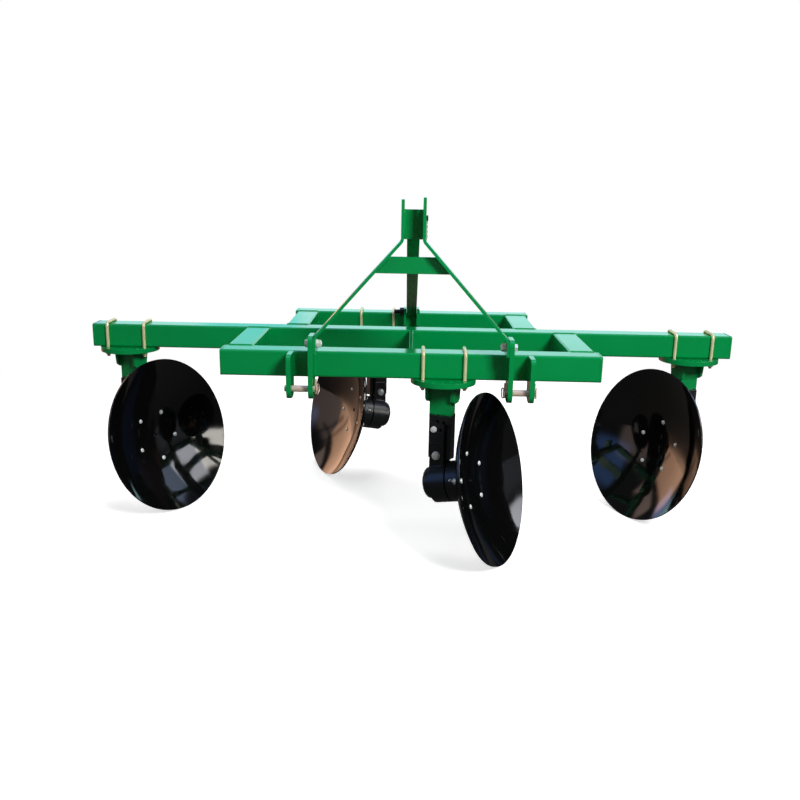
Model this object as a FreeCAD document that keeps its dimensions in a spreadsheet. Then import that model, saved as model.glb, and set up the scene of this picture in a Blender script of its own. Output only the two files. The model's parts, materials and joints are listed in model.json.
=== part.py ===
"""Four-disc two-row disc ridger for a tractor's three-point linkage.

The frame is a ladder of square tube: a front, a middle and a rear beam across the machine, joined by
side rails. Four disc units hang below the beams on clamped swivel plates. Each has a post, a tilt
bracket with the hub housing, and a hub that carries a dished disc and turns freely.

Frame of the model: +X to the right and +Y to the rear, seen from the tractor, +Z up, millimetres.
The ground is z = 0 under the four discs, and the origin is under the middle of the overall length.
"""
import FreeCAD
import Part
import Sketcher
import math
import os

from FreeCAD import Placement, Rotation, Vector

NODES_FOLDER = "parts"
STEEL_DENSITY = 7.85e-6  # kg per cubic millimetre

# Driving dimensions: name, value in millimetres or degrees, meaning
DIMENSIONS = [
    ("tube_width", 90, "outside width and height of the square frame tube"),
    ("tube_wall", 8, "wall of the frame tube"),
    ("tube_corner", 8, "outer corner radius of the frame tube"),
    ("cap_thick", 6, "thickness of a beam's end cap"),
    ("front_beam_length", 1304, "front beam over its end caps"),
    ("middle_beam_length", 2510, "middle beam over its end caps"),
    ("rear_beam_length", 1028, "rear beam over its end caps"),
    ("front_rail_offset", 599, "centre plane to a front side rail's centre line"),
    ("rear_rail_offset", 457, "centre plane to a rear side rail's centre line"),
    ("front_bay", 379, "clear length between front and middle beams"),
    ("rear_bay", 367, "clear length between middle and rear beams"),
    ("rib_thick", 12, "centre rib thickness"),
    ("rib_height", 80, "centre rib height"),
    ("disc_radius", 301, "radius of a disc"),
    ("disc_depth", 90, "depth of a disc's dish"),
    ("disc_thick", 6, "disc plate thickness"),
    ("disc_pilot_radius", 8, "radius of the hole at a disc's centre"),
    ("disc_tilt", 12.5, "angle by which a disc's face looks up"),
    ("disc_reach", 205, "post axis to rim plane, along the hub's axis"),
    ("hub_drop", 384, "underside of a beam to the hub's axis, at the post"),
    ("hub_radius", 73, "radius of a hub's barrel and of its housing's shoulder"),
    ("hub_flange_radius", 112, "radius of a hub's dished flange"),
    ("hub_flange_thick", 10, "thickness of that flange"),
    ("hub_flange_start", 85, "post axis to the furthest back of the flange blank"),
    ("housing_radius", 57, "radius of the hub housing behind its shoulder"),
    ("housing_back", 48, "post axis to the back of the hub housing"),
    ("housing_round", 14, "radius of the housing's back edge"),
    ("housing_shoulder", 15, "post axis back to the housing's shoulder"),
    ("housing_front", 46, "post axis to the front of the hub housing"),
    ("hub_gap", 5, "gap between the housing and the turning hub"),
    ("spindle_radius", 22, "radius of the fixed spindle inside the hub"),
    ("spindle_length", 40, "spindle from the housing's front face to its end"),
    ("spindle_clearance", 0.5, "radial running clearance of the hub on its spindle"),
    ("spindle_end_gap", 2, "end of the spindle to the bottom of the hub's bore"),
    ("swivel_radius", 113, "radius of a swivel plate"),
    ("swivel_thick", 18, "thickness of a swivel plate"),
    ("swivel_hole_radius", 7.5, "radius of a swivel plate's holes"),
    ("swivel_hole_count", 20, "holes in a swivel plate's ring"),
    ("ubolt_rod", 6, "radius of a U-bolt's rod"),
    ("ubolt_clearance", 1, "beam face to a U-bolt's leg"),
    ("ubolt_corner", 16, "centre line radius of a U-bolt's corners"),
    ("ubolt_tail", 18, "length of a U-bolt's leg below the swivel plate"),
    ("post_length_u", 82, "post section along the hub's direction"),
    ("post_width_v", 36, "post section across the hub's direction"),
    ("post_wall", 6, "post tube wall"),
    ("post_foot_rise", 92, "hub's axis to the foot of the post"),
    ("cheek_thick", 12, "thickness of a cheek plate at the top of a post"),
    ("cheek_top_width", 76, "width of a cheek plate below the swivel plate"),
    ("cheek_low_width", 62, "width of a cheek plate above its sloping foot"),
    ("cheek_height", 70, "full height of a cheek plate"),
    ("cheek_foot_height", 10, "height of the cheek plate's sloping foot"),
    ("bracket_thick", 14, "thickness of a tilt bracket"),
    ("bracket_drop", 133, "underside of a beam to the tilt bracket's top"),
    ("bracket_head_height", 28, "height of the bracket's wider head"),
    ("bracket_back", 31, "post axis to the back edge of the bracket"),
    ("bracket_stem_front", 23, "post axis to the front edge of the bracket's stem"),
    ("bracket_head_front", 45, "post axis to the front edge of the bracket's head"),
    ("rear_plate_front", 38, "post axis to the front edge of the bracket's rear plate"),
    ("rear_plate_gap", 4, "gap between the hub's barrel and the rear plate's wider part above it"),
    ("pivot_bolt_rise", 106, "hub's axis to the bracket's lower bolt, the tilt's pivot"),
    ("pivot_bolt_back", 5, "post axis back to the bracket's lower bolt"),
    ("pivot_bolt_radius", 8.5, "radius of the lower bolt's holes"),
    ("tilt_hole_radius", 6.5, "radius of the bracket's tilt holes"),
    ("tilt_near_reach", 95, "lower bolt to the near pair of tilt holes"),
    ("tilt_near_turn", -7, "first near tilt hole's turn from upright, towards the disc"),
    ("tilt_near_step", 15, "turn from one near tilt hole to the next"),
    ("tilt_far_reach", 124, "lower bolt to the far pair of tilt holes"),
    ("tilt_far_turn", 0.5, "first far tilt hole's turn from upright, towards the disc"),
    ("tilt_far_step", 10.5, "turn from one far tilt hole to the next"),
    ("overlap", 1, "depth by which tools and welded-on parts run into what they meet"),
    ("ear_thick", 16, "thickness of a hitch ear"),
    ("ear_reach", 84, "reach of a hitch ear ahead of the front beam"),
    ("ear_drop", 62, "hitch ear below the front beam's underside"),
    ("inner_ear_rise", 63, "inner hitch ear above the front beam's top"),
    ("ear_foot_radius", 30, "corner radius at a hitch ear's foot"),
    ("ear_top_radius", 20, "corner radius at a hitch ear's top front"),
    ("hitch_spread", 683, "distance between the inner ears' outer faces"),
    ("hitch_gap", 57, "gap between the ears of a pair"),
    ("hitch_pin_radius", 11, "radius of a lower hitch pin"),
    ("hitch_pin_clearance", 0.3, "radial clearance of a hitch pin in its ears"),
    ("hitch_pin_drop", 31, "front beam's underside to the lower hitch pins' axis"),
    ("hitch_pin_forward", 45, "front beam's front face to the lower hitch pins' axis"),
    ("hitch_pin_outer", 10, "pin's end beyond the outer ear"),
    ("hitch_pin_inner", 12, "pin's end beyond the inner ear"),
    ("mast_height", 610, "lower hitch pins' axis to the top link pin's axis"),
    ("mast_bar_thick", 10, "thickness of the mast's flat bars"),
    ("mast_bar_width", 75, "width of the mast's flat bars"),
    ("mast_head_gap", 60, "gap between the two head plates"),
    ("mast_head_above", 28, "top link pin's axis to the top of the right head plate"),
    ("mast_head_lower", 7, "top of the right head plate down to the top of the left one"),
    ("mast_head_bend", 382, "front beam's top to the bend below the head plates"),
    ("mast_foot_bend", 60, "front beam's top to the bend above the hitch ears"),
    ("mast_bend_radius", 15, "inner radius of the mast legs' bends"),
    ("mast_bend_straight", 3, "straight end of a leg between its upper bend and the head plate"),
    ("mast_foot_rise", 8, "front beam's top to the mast foot's lower end"),
    ("top_link_radius", 12.75, "radius of the top link pin's holes"),
    ("strut_bolt_rise", 33, "front beam's top to the mast foot bolt"),
    ("strut_bolt_radius", 8.5, "radius of the mast foot bolt's holes"),
    ("back_plate_drop", 39, "top of the right head plate to the top of the back plate"),
    ("brace_drop", 54, "bend below the head plates to the cross brace's upper edge"),
    ("brace_height", 55, "height of the cross brace"),
    ("stay_width", 43, "width of the rear stay"),
    ("stay_depth", 25, "depth of the rear stay"),
    ("stay_wall", 4, "wall of the rear stay"),
    ("stay_ear_thick", 10, "thickness of a rear stay ear"),
    ("stay_ear_clearance", 1, "gap between the stay and each ear"),
    ("stay_ear_reach", 62, "reach of the stay ears ahead of the rear beam"),
    ("stay_ear_rise", 28, "stay ears above the rear beam's top"),
    ("stay_pin_rise", 11, "rear beam's top to the stay's lower bolt"),
    ("stay_pin_forward", 36, "rear beam's front face to the stay's lower bolt"),
    ("stay_end", 18, "stay's end beyond its lower bolt"),
    ("stay_head_drop", 44, "top of the back plate to where the stay's axis meets it"),
    ("left_unit_x", -1123, "post of the left outer disc unit"),
    ("right_unit_x", 1106, "post of the right outer disc unit"),
    ("front_unit_x", 114, "post of the front inner disc unit"),
    ("rear_unit_x", -151, "post of the rear inner disc unit"),
    ("left_unit_turn", 60, "left outer disc: turn of its face from straight ahead to the right"),
    ("right_unit_turn", -63, "right outer disc: the same"),
    ("front_unit_turn", 66, "front inner disc: the same"),
    ("rear_unit_turn", -65, "rear inner disc: the same"),
]

doc = FreeCAD.newDocument("DiscRidger")
sheet = doc.addObject("Spreadsheet::Sheet", "Sizes")
for row, (name, value, meaning) in enumerate(DIMENSIONS, start=1):
    sheet.set(f"A{row}", meaning)
    sheet.set(f"B{row}", str(value))
    sheet.setAlias(f"B{row}", name)
doc.recompute()


def size(name):
    """A driving dimension's value, read from the sheet."""
    return float(sheet.get(name))


# --- places that follow from the driving dimensions -------------------------------------------------

tilt = math.radians(size("disc_tilt"))
DISH_SPHERE = "((Sizes.disc_radius ^ 2 + Sizes.disc_depth ^ 2) / (2 * Sizes.disc_depth))"
dish_sphere = (size("disc_radius") ** 2 + size("disc_depth") ** 2) / (2 * size("disc_depth"))
rim_step = (math.sqrt((dish_sphere + size("disc_thick")) ** 2 - size("disc_radius") ** 2)
            - math.sqrt(dish_sphere ** 2 - size("disc_radius") ** 2))
disc_centre_height = size("disc_radius") * math.cos(tilt) + rim_step * math.sin(tilt)
axis_height = disc_centre_height - size("disc_reach") * math.sin(tilt)
beam_bottom = axis_height + size("hub_drop")
beam_top = beam_bottom + size("tube_width")
swivel_bottom = beam_bottom - size("swivel_thick")

# Distances to the rear of the front beam's front face, before the origin is set
front_post = size("tube_width") / 2
middle_front = size("tube_width") + size("front_bay")
middle_post = middle_front + size("tube_width") / 2
rear_front = middle_front + size("tube_width") + size("rear_bay")
rear_post = rear_front + size("tube_width") / 2


def disc_half_length(turn_degrees):
    """Half the fore-and-aft extent of a tilted, turned disc's rim."""
    turn = math.radians(turn_degrees)
    return size("disc_radius") * math.hypot(math.sin(turn), math.cos(turn) * math.sin(tilt))


def disc_ahead(turn_degrees, along):
    """How far ahead of its post a point of the hub's axis lies."""
    return along * math.cos(tilt) * math.cos(math.radians(turn_degrees))


foremost = (front_post - disc_ahead(size("front_unit_turn"), size("disc_reach"))
            - disc_half_length(size("front_unit_turn")))
rearmost = (rear_post - disc_ahead(size("rear_unit_turn"), size("disc_reach") - rim_step)
            + disc_half_length(size("rear_unit_turn")))
origin_y = (foremost + rearmost) / 2


def y_at(from_front_face):
    """Model y of a distance to the rear of the front beam's front face."""
    return from_front_face - origin_y


hitch_pin_height = beam_bottom - size("hitch_pin_drop")
top_link_height = hitch_pin_height + size("mast_height")
mast_top = top_link_height + size("mast_head_above")
back_plate_top = mast_top - size("back_plate_drop")
mast_y = y_at(-size("hitch_pin_forward"))
ear_face = size("hitch_spread") / 2
outer_ear_face = ear_face + size("hitch_gap")

sub_parts = []


def keep(obj, label):
    """Give a finished sub-part the label that names its file."""
    obj.Label = label
    sub_parts.append(obj)
    return obj


# --- small modelling helpers ------------------------------------------------------------------------

def new_body(name, compound=False):
    body = doc.addObject("PartDesign::Body", name)
    body.AllowCompound = compound
    return body


def origin_plane(body, role):
    return [feature for feature in body.Origin.OriginFeatures if feature.Role == role][0]


def new_sketch(body, name, role):
    """An empty sketch on one of the body's own origin planes."""
    sketch = body.newObject("Sketcher::SketchObject", name)
    sketch.AttachmentSupport = [(origin_plane(body, role), "")]
    sketch.MapMode = "FlatFace"
    return sketch


def number(formula):
    """The value of a formula of the sheet, for a sketch's first position."""
    return float(sheet.evalExpression(formula))


def add_outline(sketch, corners):
    """Closed outline through corners, each a pair of formulas of the sheet."""
    points = [Vector(number(x), number(y), 0) for x, y in corners]
    first = sketch.GeometryCount
    count = len(points)
    for i in range(count):
        sketch.addGeometry(Part.LineSegment(points[i], points[(i + 1) % count]), False)
    for i in range(count):
        sketch.addConstraint(Sketcher.Constraint("Coincident", first + i, 2, first + (i + 1) % count, 1))
    for i, (x, y) in enumerate(corners):
        dimension_point(sketch, first + i, 1, x, y)


def dimension_point(sketch, geometry, vertex, x_formula, y_formula):
    """Hold a sketch point at two signed distances from the sketch's origin."""
    for kind, formula in (("DistanceX", x_formula), ("DistanceY", y_formula)):
        value = number(formula)
        if abs(value) < 1e-9 and formula == "0":
            other = (-1, 1)
            sign = "Vertical" if kind == "DistanceX" else "Horizontal"
            sketch.addConstraint(Sketcher.Constraint(sign, other[0], other[1], geometry, vertex))
            continue
        index = sketch.addConstraint(Sketcher.Constraint(kind, -1, 1, geometry, vertex, value))
        sketch.setExpression(f"Constraints[{index}]", formula)


def add_circle(sketch, x_formula, y_formula, radius_formula):
    centre = Vector(number(x_formula), number(y_formula), 0)
    index = sketch.addGeometry(Part.Circle(centre, Vector(0, 0, 1), number(radius_formula)), False)
    dimension_point(sketch, index, 3, x_formula, y_formula)
    radius = sketch.addConstraint(Sketcher.Constraint("Radius", index, number(radius_formula)))
    sketch.setExpression(f"Constraints[{radius}]", radius_formula)


def add_rounded_square(sketch, half_formula, radius_formula):
    """Square centred on the origin with rounded corners."""
    half, radius = number(half_formula), number(radius_formula)
    turns = [(1, -1), (1, 1), (-1, 1), (-1, -1)]
    first = sketch.GeometryCount
    for i in range(4):
        angle = -math.pi / 2 + i * math.pi / 2
        cx, cy = turns[i][0] * (half - radius), turns[i][1] * (half - radius)
        circle = Part.Circle(Vector(cx, cy, 0), Vector(0, 0, 1), radius)
        sketch.addGeometry(Part.ArcOfCircle(circle, angle, angle + math.pi / 2), False)
    for i in range(4):
        a = sketch.Geometry[first + i].EndPoint
        b = sketch.Geometry[first + (i + 1) % 4].StartPoint
        sketch.addGeometry(Part.LineSegment(a, b), False)
    for i in range(4):
        line = first + 4 + i
        sketch.addConstraint(Sketcher.Constraint("Tangent", first + i, 2, line, 1))
        sketch.addConstraint(Sketcher.Constraint("Tangent", line, 2, first + (i + 1) % 4, 1))
        sketch.addConstraint(Sketcher.Constraint("Vertical" if i % 2 == 0 else "Horizontal", line))
    for i in range(1, 4):
        sketch.addConstraint(Sketcher.Constraint("Equal", first, first + i))
    index = sketch.addConstraint(Sketcher.Constraint("Radius", first, radius))
    sketch.setExpression(f"Constraints[{index}]", radius_formula)
    reaches = (("DistanceX", 1), ("DistanceY", 1), ("DistanceX", -1), ("DistanceY", -1))
    for i, (kind, sign) in enumerate(reaches):
        line = first + 4 + i
        index = sketch.addConstraint(Sketcher.Constraint(kind, -1, 1, line, 1, sign * half))
        sketch.setExpression(f"Constraints[{index}]", f"{sign} * ({half_formula})")


def pad(body, sketch, name, length_formula):
    """Pad a sketch to both sides of its plane."""
    feature = body.newObject("PartDesign::Pad", name)
    feature.Profile = sketch
    feature.SideType = "Symmetric"
    feature.setExpression("Length", length_formula)
    return feature


def pocket_through(body, sketch, name):
    """Cut a sketch through the whole body, to both sides of its plane."""
    feature = body.newObject("PartDesign::Pocket", name)
    feature.Profile = sketch
    feature.Type = "ThroughAll"
    feature.SideType = "Symmetric"
    return feature


def place(obj, x, y, z, rotation=Rotation()):
    obj.Placement = Placement(Vector(x, y, z), rotation)
    return obj


def primitive(kind, name, placement=Placement(), **formulas):
    """A Part primitive whose sizes are formulas of the sheet."""
    obj = doc.addObject(f"Part::{kind}", name)
    for prop, formula in formulas.items():
        obj.setExpression(prop, formula)
    obj.Placement = placement
    return obj


def fuse(name, *shapes):
    obj = doc.addObject("Part::MultiFuse", name)
    obj.Shapes = list(shapes)
    return obj


def cut(name, base, tool):
    obj = doc.addObject("Part::Cut", name)
    obj.Base = base
    obj.Tool = tool
    return obj


def common(name, *shapes):
    obj = doc.addObject("Part::MultiCommon", name)
    obj.Shapes = list(shapes)
    return obj


def together(name, pieces):
    """Like pieces of one body that share a node and don't touch."""
    group = doc.addObject("Part::Compound", name)
    group.Links = pieces
    return group


# --- frame ------------------------------------------------------------------------------------------

def tube(label, role, length_formula, x, y):
    """Square tube, open at its ends, with its top level with the frame's top."""
    body = new_body(label)
    outer = new_sketch(body, label + "_outer", role)
    add_rounded_square(outer, "Sizes.tube_width / 2", "Sizes.tube_corner")
    pad(body, outer, label + "_pad", length_formula)
    inner = new_sketch(body, label + "_inner", role)
    add_rounded_square(inner, "Sizes.tube_width / 2 - Sizes.tube_wall", "Sizes.tube_corner / 2")
    pocket_through(body, inner, label + "_bore")
    place(body, x, y, beam_bottom + size("tube_width") / 2)
    return keep(body, label)


BEAMS = [("front", front_post), ("middle", middle_post), ("rear", rear_post)]


def frame_tubes():
    for name, post_y in BEAMS:
        tube(f"{name}_beam", "YZ_Plane", f"Sizes.{name}_beam_length - 2 * Sizes.cap_thick", 0, y_at(post_y))
    for name, start in (("front", size("tube_width")), ("rear", middle_front + size("tube_width"))):
        for side, sign in (("left", -1), ("right", 1)):
            tube(f"{name}_rail_{side}", "XZ_Plane", f"Sizes.{name}_bay",
                 sign * size(f"{name}_rail_offset"), y_at(start + size(f"{name}_bay") / 2))


def end_caps():
    """The six flat caps that close the beams' ends, with the tube's own outline."""
    caps = []
    for name, post_y in BEAMS:
        for side, sign in (("left", -1), ("right", 1)):
            body = new_body(f"{name}_cap_{side}")
            sketch = new_sketch(body, f"{name}_cap_{side}_outline", "YZ_Plane")
            add_rounded_square(sketch, "Sizes.tube_width / 2", "Sizes.tube_corner")
            pad(body, sketch, f"{name}_cap_{side}_pad", "Sizes.cap_thick")
            x = sign * (size(f"{name}_beam_length") - size("cap_thick")) / 2
            place(body, x, y_at(post_y), beam_bottom + size("tube_width") / 2)
            caps.append(body)
    keep(together("beam_caps", caps), "beam_caps")


def centre_rib():
    """Flat plate on edge between the front and middle beams."""
    rib = primitive("Box", "centre_rib", Length="Sizes.rib_thick", Width="Sizes.front_bay",
                    Height="Sizes.rib_height")
    place(rib, -size("rib_thick") / 2, y_at(size("tube_width")), beam_top - size("rib_height"))
    keep(rib, "centre_rib")


# --- hitch and mast ---------------------------------------------------------------------------------

def round_edges(body, base, name, radius_formula, across, wanted):
    """Fillet the edges that stand on a plate's outline at the wanted corners, pairs of the two
    coordinates that across names."""
    doc.recompute()
    names = []
    for i, edge in enumerate(base.Shape.Edges, start=1):
        ends = [[getattr(vertex.Point, axis) for axis in across] for vertex in edge.Vertexes]
        if any(all(math.dist(end, corner) < 1e-3 for end in ends) for corner in wanted):
            names.append(f"Edge{i}")
    feature = body.newObject("PartDesign::Fillet", name)
    feature.Base = (base, names)
    feature.setExpression("Radius", radius_formula)
    body.Tip = feature
    return feature


def hitch_ear(name, x, rise_formula, strut_bolt):
    """One upright plate on the front beam's front face; its y is measured from that face, its z from
    the hitch pin's axis."""
    body = new_body(name)
    sketch = new_sketch(body, name + "_outline", "YZ_Plane")
    low = "Sizes.hitch_pin_drop - Sizes.ear_drop"
    high = f"Sizes.hitch_pin_drop + Sizes.tube_width + {rise_formula}"
    add_outline(sketch, [("-Sizes.ear_reach", low), ("0", low), ("0", high), ("-Sizes.ear_reach", high)])
    plate = pad(body, sketch, name + "_pad", "Sizes.ear_thick")
    holes = new_sketch(body, name + "_holes", "YZ_Plane")
    add_circle(holes, "-Sizes.hitch_pin_forward", "0", "Sizes.hitch_pin_radius + Sizes.hitch_pin_clearance")
    if strut_bolt:
        bolt_z = "Sizes.hitch_pin_drop + Sizes.tube_width + Sizes.strut_bolt_rise"
        add_circle(holes, "-Sizes.hitch_pin_forward", bolt_z, "Sizes.strut_bolt_radius")
    foot = [(-size("ear_reach"), number(low)), (0.0, number(low))]
    feet = round_edges(body, plate, name + "_foot", "Sizes.ear_foot_radius", "yz", foot)
    round_edges(body, feet, name + "_top", "Sizes.ear_top_radius", "yz", [(-size("ear_reach"), number(high))])
    pocket_through(body, holes, name + "_bores")
    return place(body, x, y_at(0), hitch_pin_height)


def hitch():
    """Two pairs of ears with a pin through each."""
    for side, sign in (("left", -1), ("right", 1)):
        inner_x = sign * (ear_face - size("ear_thick") / 2)
        outer_x = sign * (outer_ear_face + size("ear_thick") / 2)
        keep(hitch_ear(f"hitch_ear_inner_{side}", inner_x, "Sizes.inner_ear_rise", True),
             f"hitch_ear_inner_{side}")
        keep(hitch_ear(f"hitch_ear_outer_{side}", outer_x, "0", False), f"hitch_ear_outer_{side}")
        length = ("Sizes.hitch_pin_inner + 2 * Sizes.ear_thick + Sizes.hitch_gap + Sizes.hitch_pin_outer")
        pin = primitive("Cylinder", f"hitch_pin_{side}", Radius="Sizes.hitch_pin_radius", Height=length)
        start = sign * (ear_face - size("ear_thick") - size("hitch_pin_inner"))
        place(pin, start, mast_y, hitch_pin_height, Rotation(Vector(0, 1, 0), 90 * sign))
        keep(pin, f"hitch_pin_{side}")


# The mast's outlines are drawn from the front, z from the front beam's top
MAST_SLOPE = ("atan2(Sizes.hitch_spread / 2 - Sizes.ear_thick - Sizes.mast_head_gap / 2 - Sizes.mast_bar_thick;"
              " Sizes.mast_head_bend - Sizes.mast_foot_bend)")
MAST_SHIFT = f"Sizes.mast_bar_thick * tan({MAST_SLOPE} / 2)"
MAST_FOOT_X = "(Sizes.hitch_spread / 2 - Sizes.ear_thick)"
MAST_HEAD_X = "(Sizes.mast_head_gap / 2 + Sizes.mast_bar_thick)"
MAST_JOINT = (f"(Sizes.mast_head_bend + Sizes.mast_bend_radius * tan({MAST_SLOPE} / 2)"
              " + Sizes.mast_bend_straight)")


def mast_bar(label, sign, outline, hole_z, hole_radius, inner_bends=(), outer_bends=()):
    """One length of the mast's flat bar, with a bolt hole along X; bends are corners of its outline."""
    body = new_body(label)
    sketch = new_sketch(body, label + "_outline", "XZ_Plane")
    add_outline(sketch, [(f"{sign} * ({x})", z) for x, z in outline])
    bar = pad(body, sketch, label + "_pad", "Sizes.mast_bar_width")
    for side, radius, bends in (("inner", "Sizes.mast_bend_radius", inner_bends),
                                ("outer", "Sizes.mast_bend_radius + Sizes.mast_bar_thick", outer_bends)):
        if bends:
            corners = [(sign * number(x), number(z)) for x, z in bends]
            bar = round_edges(body, bar, f"{label}_{side}_bends", radius, "xz", corners)
    hole = new_sketch(body, label + "_hole", "YZ_Plane")
    add_circle(hole, "0", hole_z, hole_radius)
    pocket_through(body, hole, label + "_bore")
    place(body, 0, mast_y, beam_top)
    keep(body, label)


def mast_side(side, sign, lower):
    """An upright head plate on a leg that bends, slopes out and bends again to a foot beside the inner
    hitch ear; lower is the head's drop below the mast's top."""
    pin = "Sizes.mast_height - Sizes.hitch_pin_drop - Sizes.tube_width"
    top = f"{pin} + Sizes.mast_head_above - {lower}"
    inside_head = "Sizes.mast_head_gap / 2"
    inside_foot = f"{MAST_FOOT_X} - Sizes.mast_bar_thick"
    head = [(MAST_HEAD_X, MAST_JOINT), (MAST_HEAD_X, top), (inside_head, top), (inside_head, MAST_JOINT)]
    mast_bar(f"mast_head_{side}", sign, head, pin, "Sizes.top_link_radius")
    head_bend, foot_bend = "Sizes.mast_head_bend", "Sizes.mast_foot_bend"
    inner_bends = [(MAST_HEAD_X, head_bend), (inside_foot, f"{foot_bend} - {MAST_SHIFT}")]
    outer_bends = [(MAST_FOOT_X, foot_bend), (inside_head, f"{head_bend} - {MAST_SHIFT}")]
    leg = [(MAST_FOOT_X, "Sizes.mast_foot_rise"), outer_bends[0], inner_bends[0], (MAST_HEAD_X, MAST_JOINT),
           (inside_head, MAST_JOINT), outer_bends[1], inner_bends[1], (inside_foot, "Sizes.mast_foot_rise")]
    mast_bar(f"mast_leg_{side}", sign, leg, "Sizes.strut_bolt_rise", "Sizes.strut_bolt_radius",
             inner_bends, outer_bends)


def cross_brace():
    """Upright plate across the mast between its sloping legs."""
    body = new_body("mast_cross_brace")
    sketch = new_sketch(body, "mast_cross_brace_outline", "XZ_Plane")

    def inner_x(z_formula):
        """Half the clear width between the legs at a height above the front beam's top."""
        lean = f"(Sizes.mast_head_bend - ({z_formula})) * tan({MAST_SLOPE})"
        return f"({MAST_HEAD_X} + {lean} - Sizes.mast_bar_thick / cos({MAST_SLOPE}))"

    high = "Sizes.mast_head_bend - Sizes.brace_drop"
    low = f"{high} - Sizes.brace_height"
    add_outline(sketch, [(f"-{inner_x(low)}", low), (inner_x(low), low),
                         (inner_x(high), high), (f"-{inner_x(high)}", high)])
    pad(body, sketch, "mast_cross_brace_pad", "Sizes.mast_bar_thick")
    place(body, 0, mast_y, beam_top)
    keep(body, "mast_cross_brace")


def head_back_plate():
    """Plate between the head plates, at their rear edges, below the top link's pin."""
    height = "Sizes.mast_height - Sizes.hitch_pin_drop - Sizes.tube_width + Sizes.mast_head_above" \
             " - Sizes.back_plate_drop - Sizes.mast_head_bend"
    plate = primitive("Box", "mast_back_plate", Length="Sizes.mast_head_gap", Width="Sizes.mast_bar_thick",
                      Height=height)
    y = mast_y + size("mast_bar_width") / 2 - size("mast_bar_thick")
    place(plate, -size("mast_head_gap") / 2, y, beam_top + size("mast_head_bend"))
    keep(plate, "mast_back_plate")


def rear_stay():
    """Rectangular tube from the back plate down to the ears on the rear beam."""
    low = Vector(0, y_at(rear_front - size("stay_pin_forward")), beam_top + size("stay_pin_rise"))
    high = Vector(0, mast_y + size("mast_bar_width") / 2, back_plate_top - size("stay_head_drop"))
    run = high - low
    lean = math.degrees(math.atan2(run.z, -run.y))
    length = run.Length + size("stay_end")
    outer = primitive("Box", "stay_outer", Length="Sizes.stay_width", Height="Sizes.stay_depth")
    inner = primitive("Box", "stay_inner", Length="Sizes.stay_width - 2 * Sizes.stay_wall",
                      Height="Sizes.stay_depth - 2 * Sizes.stay_wall")
    for box, wall in ((outer, 0), (inner, size("stay_wall"))):
        box.Width = length + size("stay_depth")
        box.Placement = Placement(Vector(-size("stay_width") / 2 + wall, -size("stay_end"),
                                         -size("stay_depth") / 2 + wall), Rotation())
    tube_shape = cut("stay_tube", outer, inner)
    turn = Rotation(Vector(1, 0, 0), -lean).multiply(Rotation(Vector(0, 0, 1), 180))
    tube_shape.Placement = Placement(low, turn)
    # The upper end is sawn off upright against the back plate
    saw = primitive("Box", "stay_saw", Length="Sizes.mast_head_gap", Width="Sizes.mast_bar_width",
                    Height="Sizes.mast_height")
    place(saw, -size("mast_head_gap") / 2, high.y - size("mast_bar_width"), beam_top)
    keep(cut("rear_stay", tube_shape, saw), "rear_stay")


def stay_ears():
    """Two upright ears on the rear beam's front face, one on each side of the stay."""
    ears = []
    for side, sign in (("left", -1), ("right", 1)):
        body = new_body(f"stay_ear_{side}")
        sketch = new_sketch(body, f"stay_ear_{side}_outline", "YZ_Plane")
        low, high = "-Sizes.tube_width", "Sizes.stay_ear_rise"
        add_outline(sketch, [("-Sizes.stay_ear_reach", "-Sizes.tube_width / 2"), ("0", low), ("0", high),
                             ("-Sizes.stay_ear_reach", high)])
        pad(body, sketch, f"stay_ear_{side}_pad", "Sizes.stay_ear_thick")
        holes = new_sketch(body, f"stay_ear_{side}_hole", "YZ_Plane")
        add_circle(holes, "-Sizes.stay_pin_forward", "Sizes.stay_pin_rise", "Sizes.strut_bolt_radius")
        pocket_through(body, holes, f"stay_ear_{side}_bore")
        x = sign * (size("stay_width") / 2 + size("stay_ear_clearance") + size("stay_ear_thick") / 2)
        place(body, x, y_at(rear_front), beam_top)
        ears.append(body)
    keep(together("stay_ears", ears), "stay_ears")


# --- disc units -------------------------------------------------------------------------------------

# name and the line of the beam that carries the post
UNITS = [("left", middle_post), ("right", middle_post), ("front", front_post), ("rear", rear_post)]


class Unit:
    """Where one disc unit stands. Its own frame has +X towards the disc and z = 0 on the ground."""

    def __init__(self, name, post_y):
        self.name = name
        self.x = size(f"{name}_unit_x")
        self.y = y_at(post_y)
        turn = size(f"{name}_unit_turn")
        self.front_side = -1 if turn > 0 else 1
        self.upright = Placement(Vector(self.x, self.y, 0), Rotation(Vector(0, 0, 1), turn - 90))
        along_axis = Placement(Vector(0, 0, axis_height), Rotation(Vector(0, 1, 0), -size("disc_tilt")))
        self.on_axis = self.upright.multiply(along_axis)
        self.tilted = along_axis

    def label(self, piece):
        return f"{piece}_{self.name}"


LYING = Rotation(Vector(0, 1, 0), 90)


def along(distance):
    """Placement of a cylinder that lies along the hub's axis from a distance to the post."""
    return Placement(Vector(distance, 0, 0), LYING)


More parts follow.
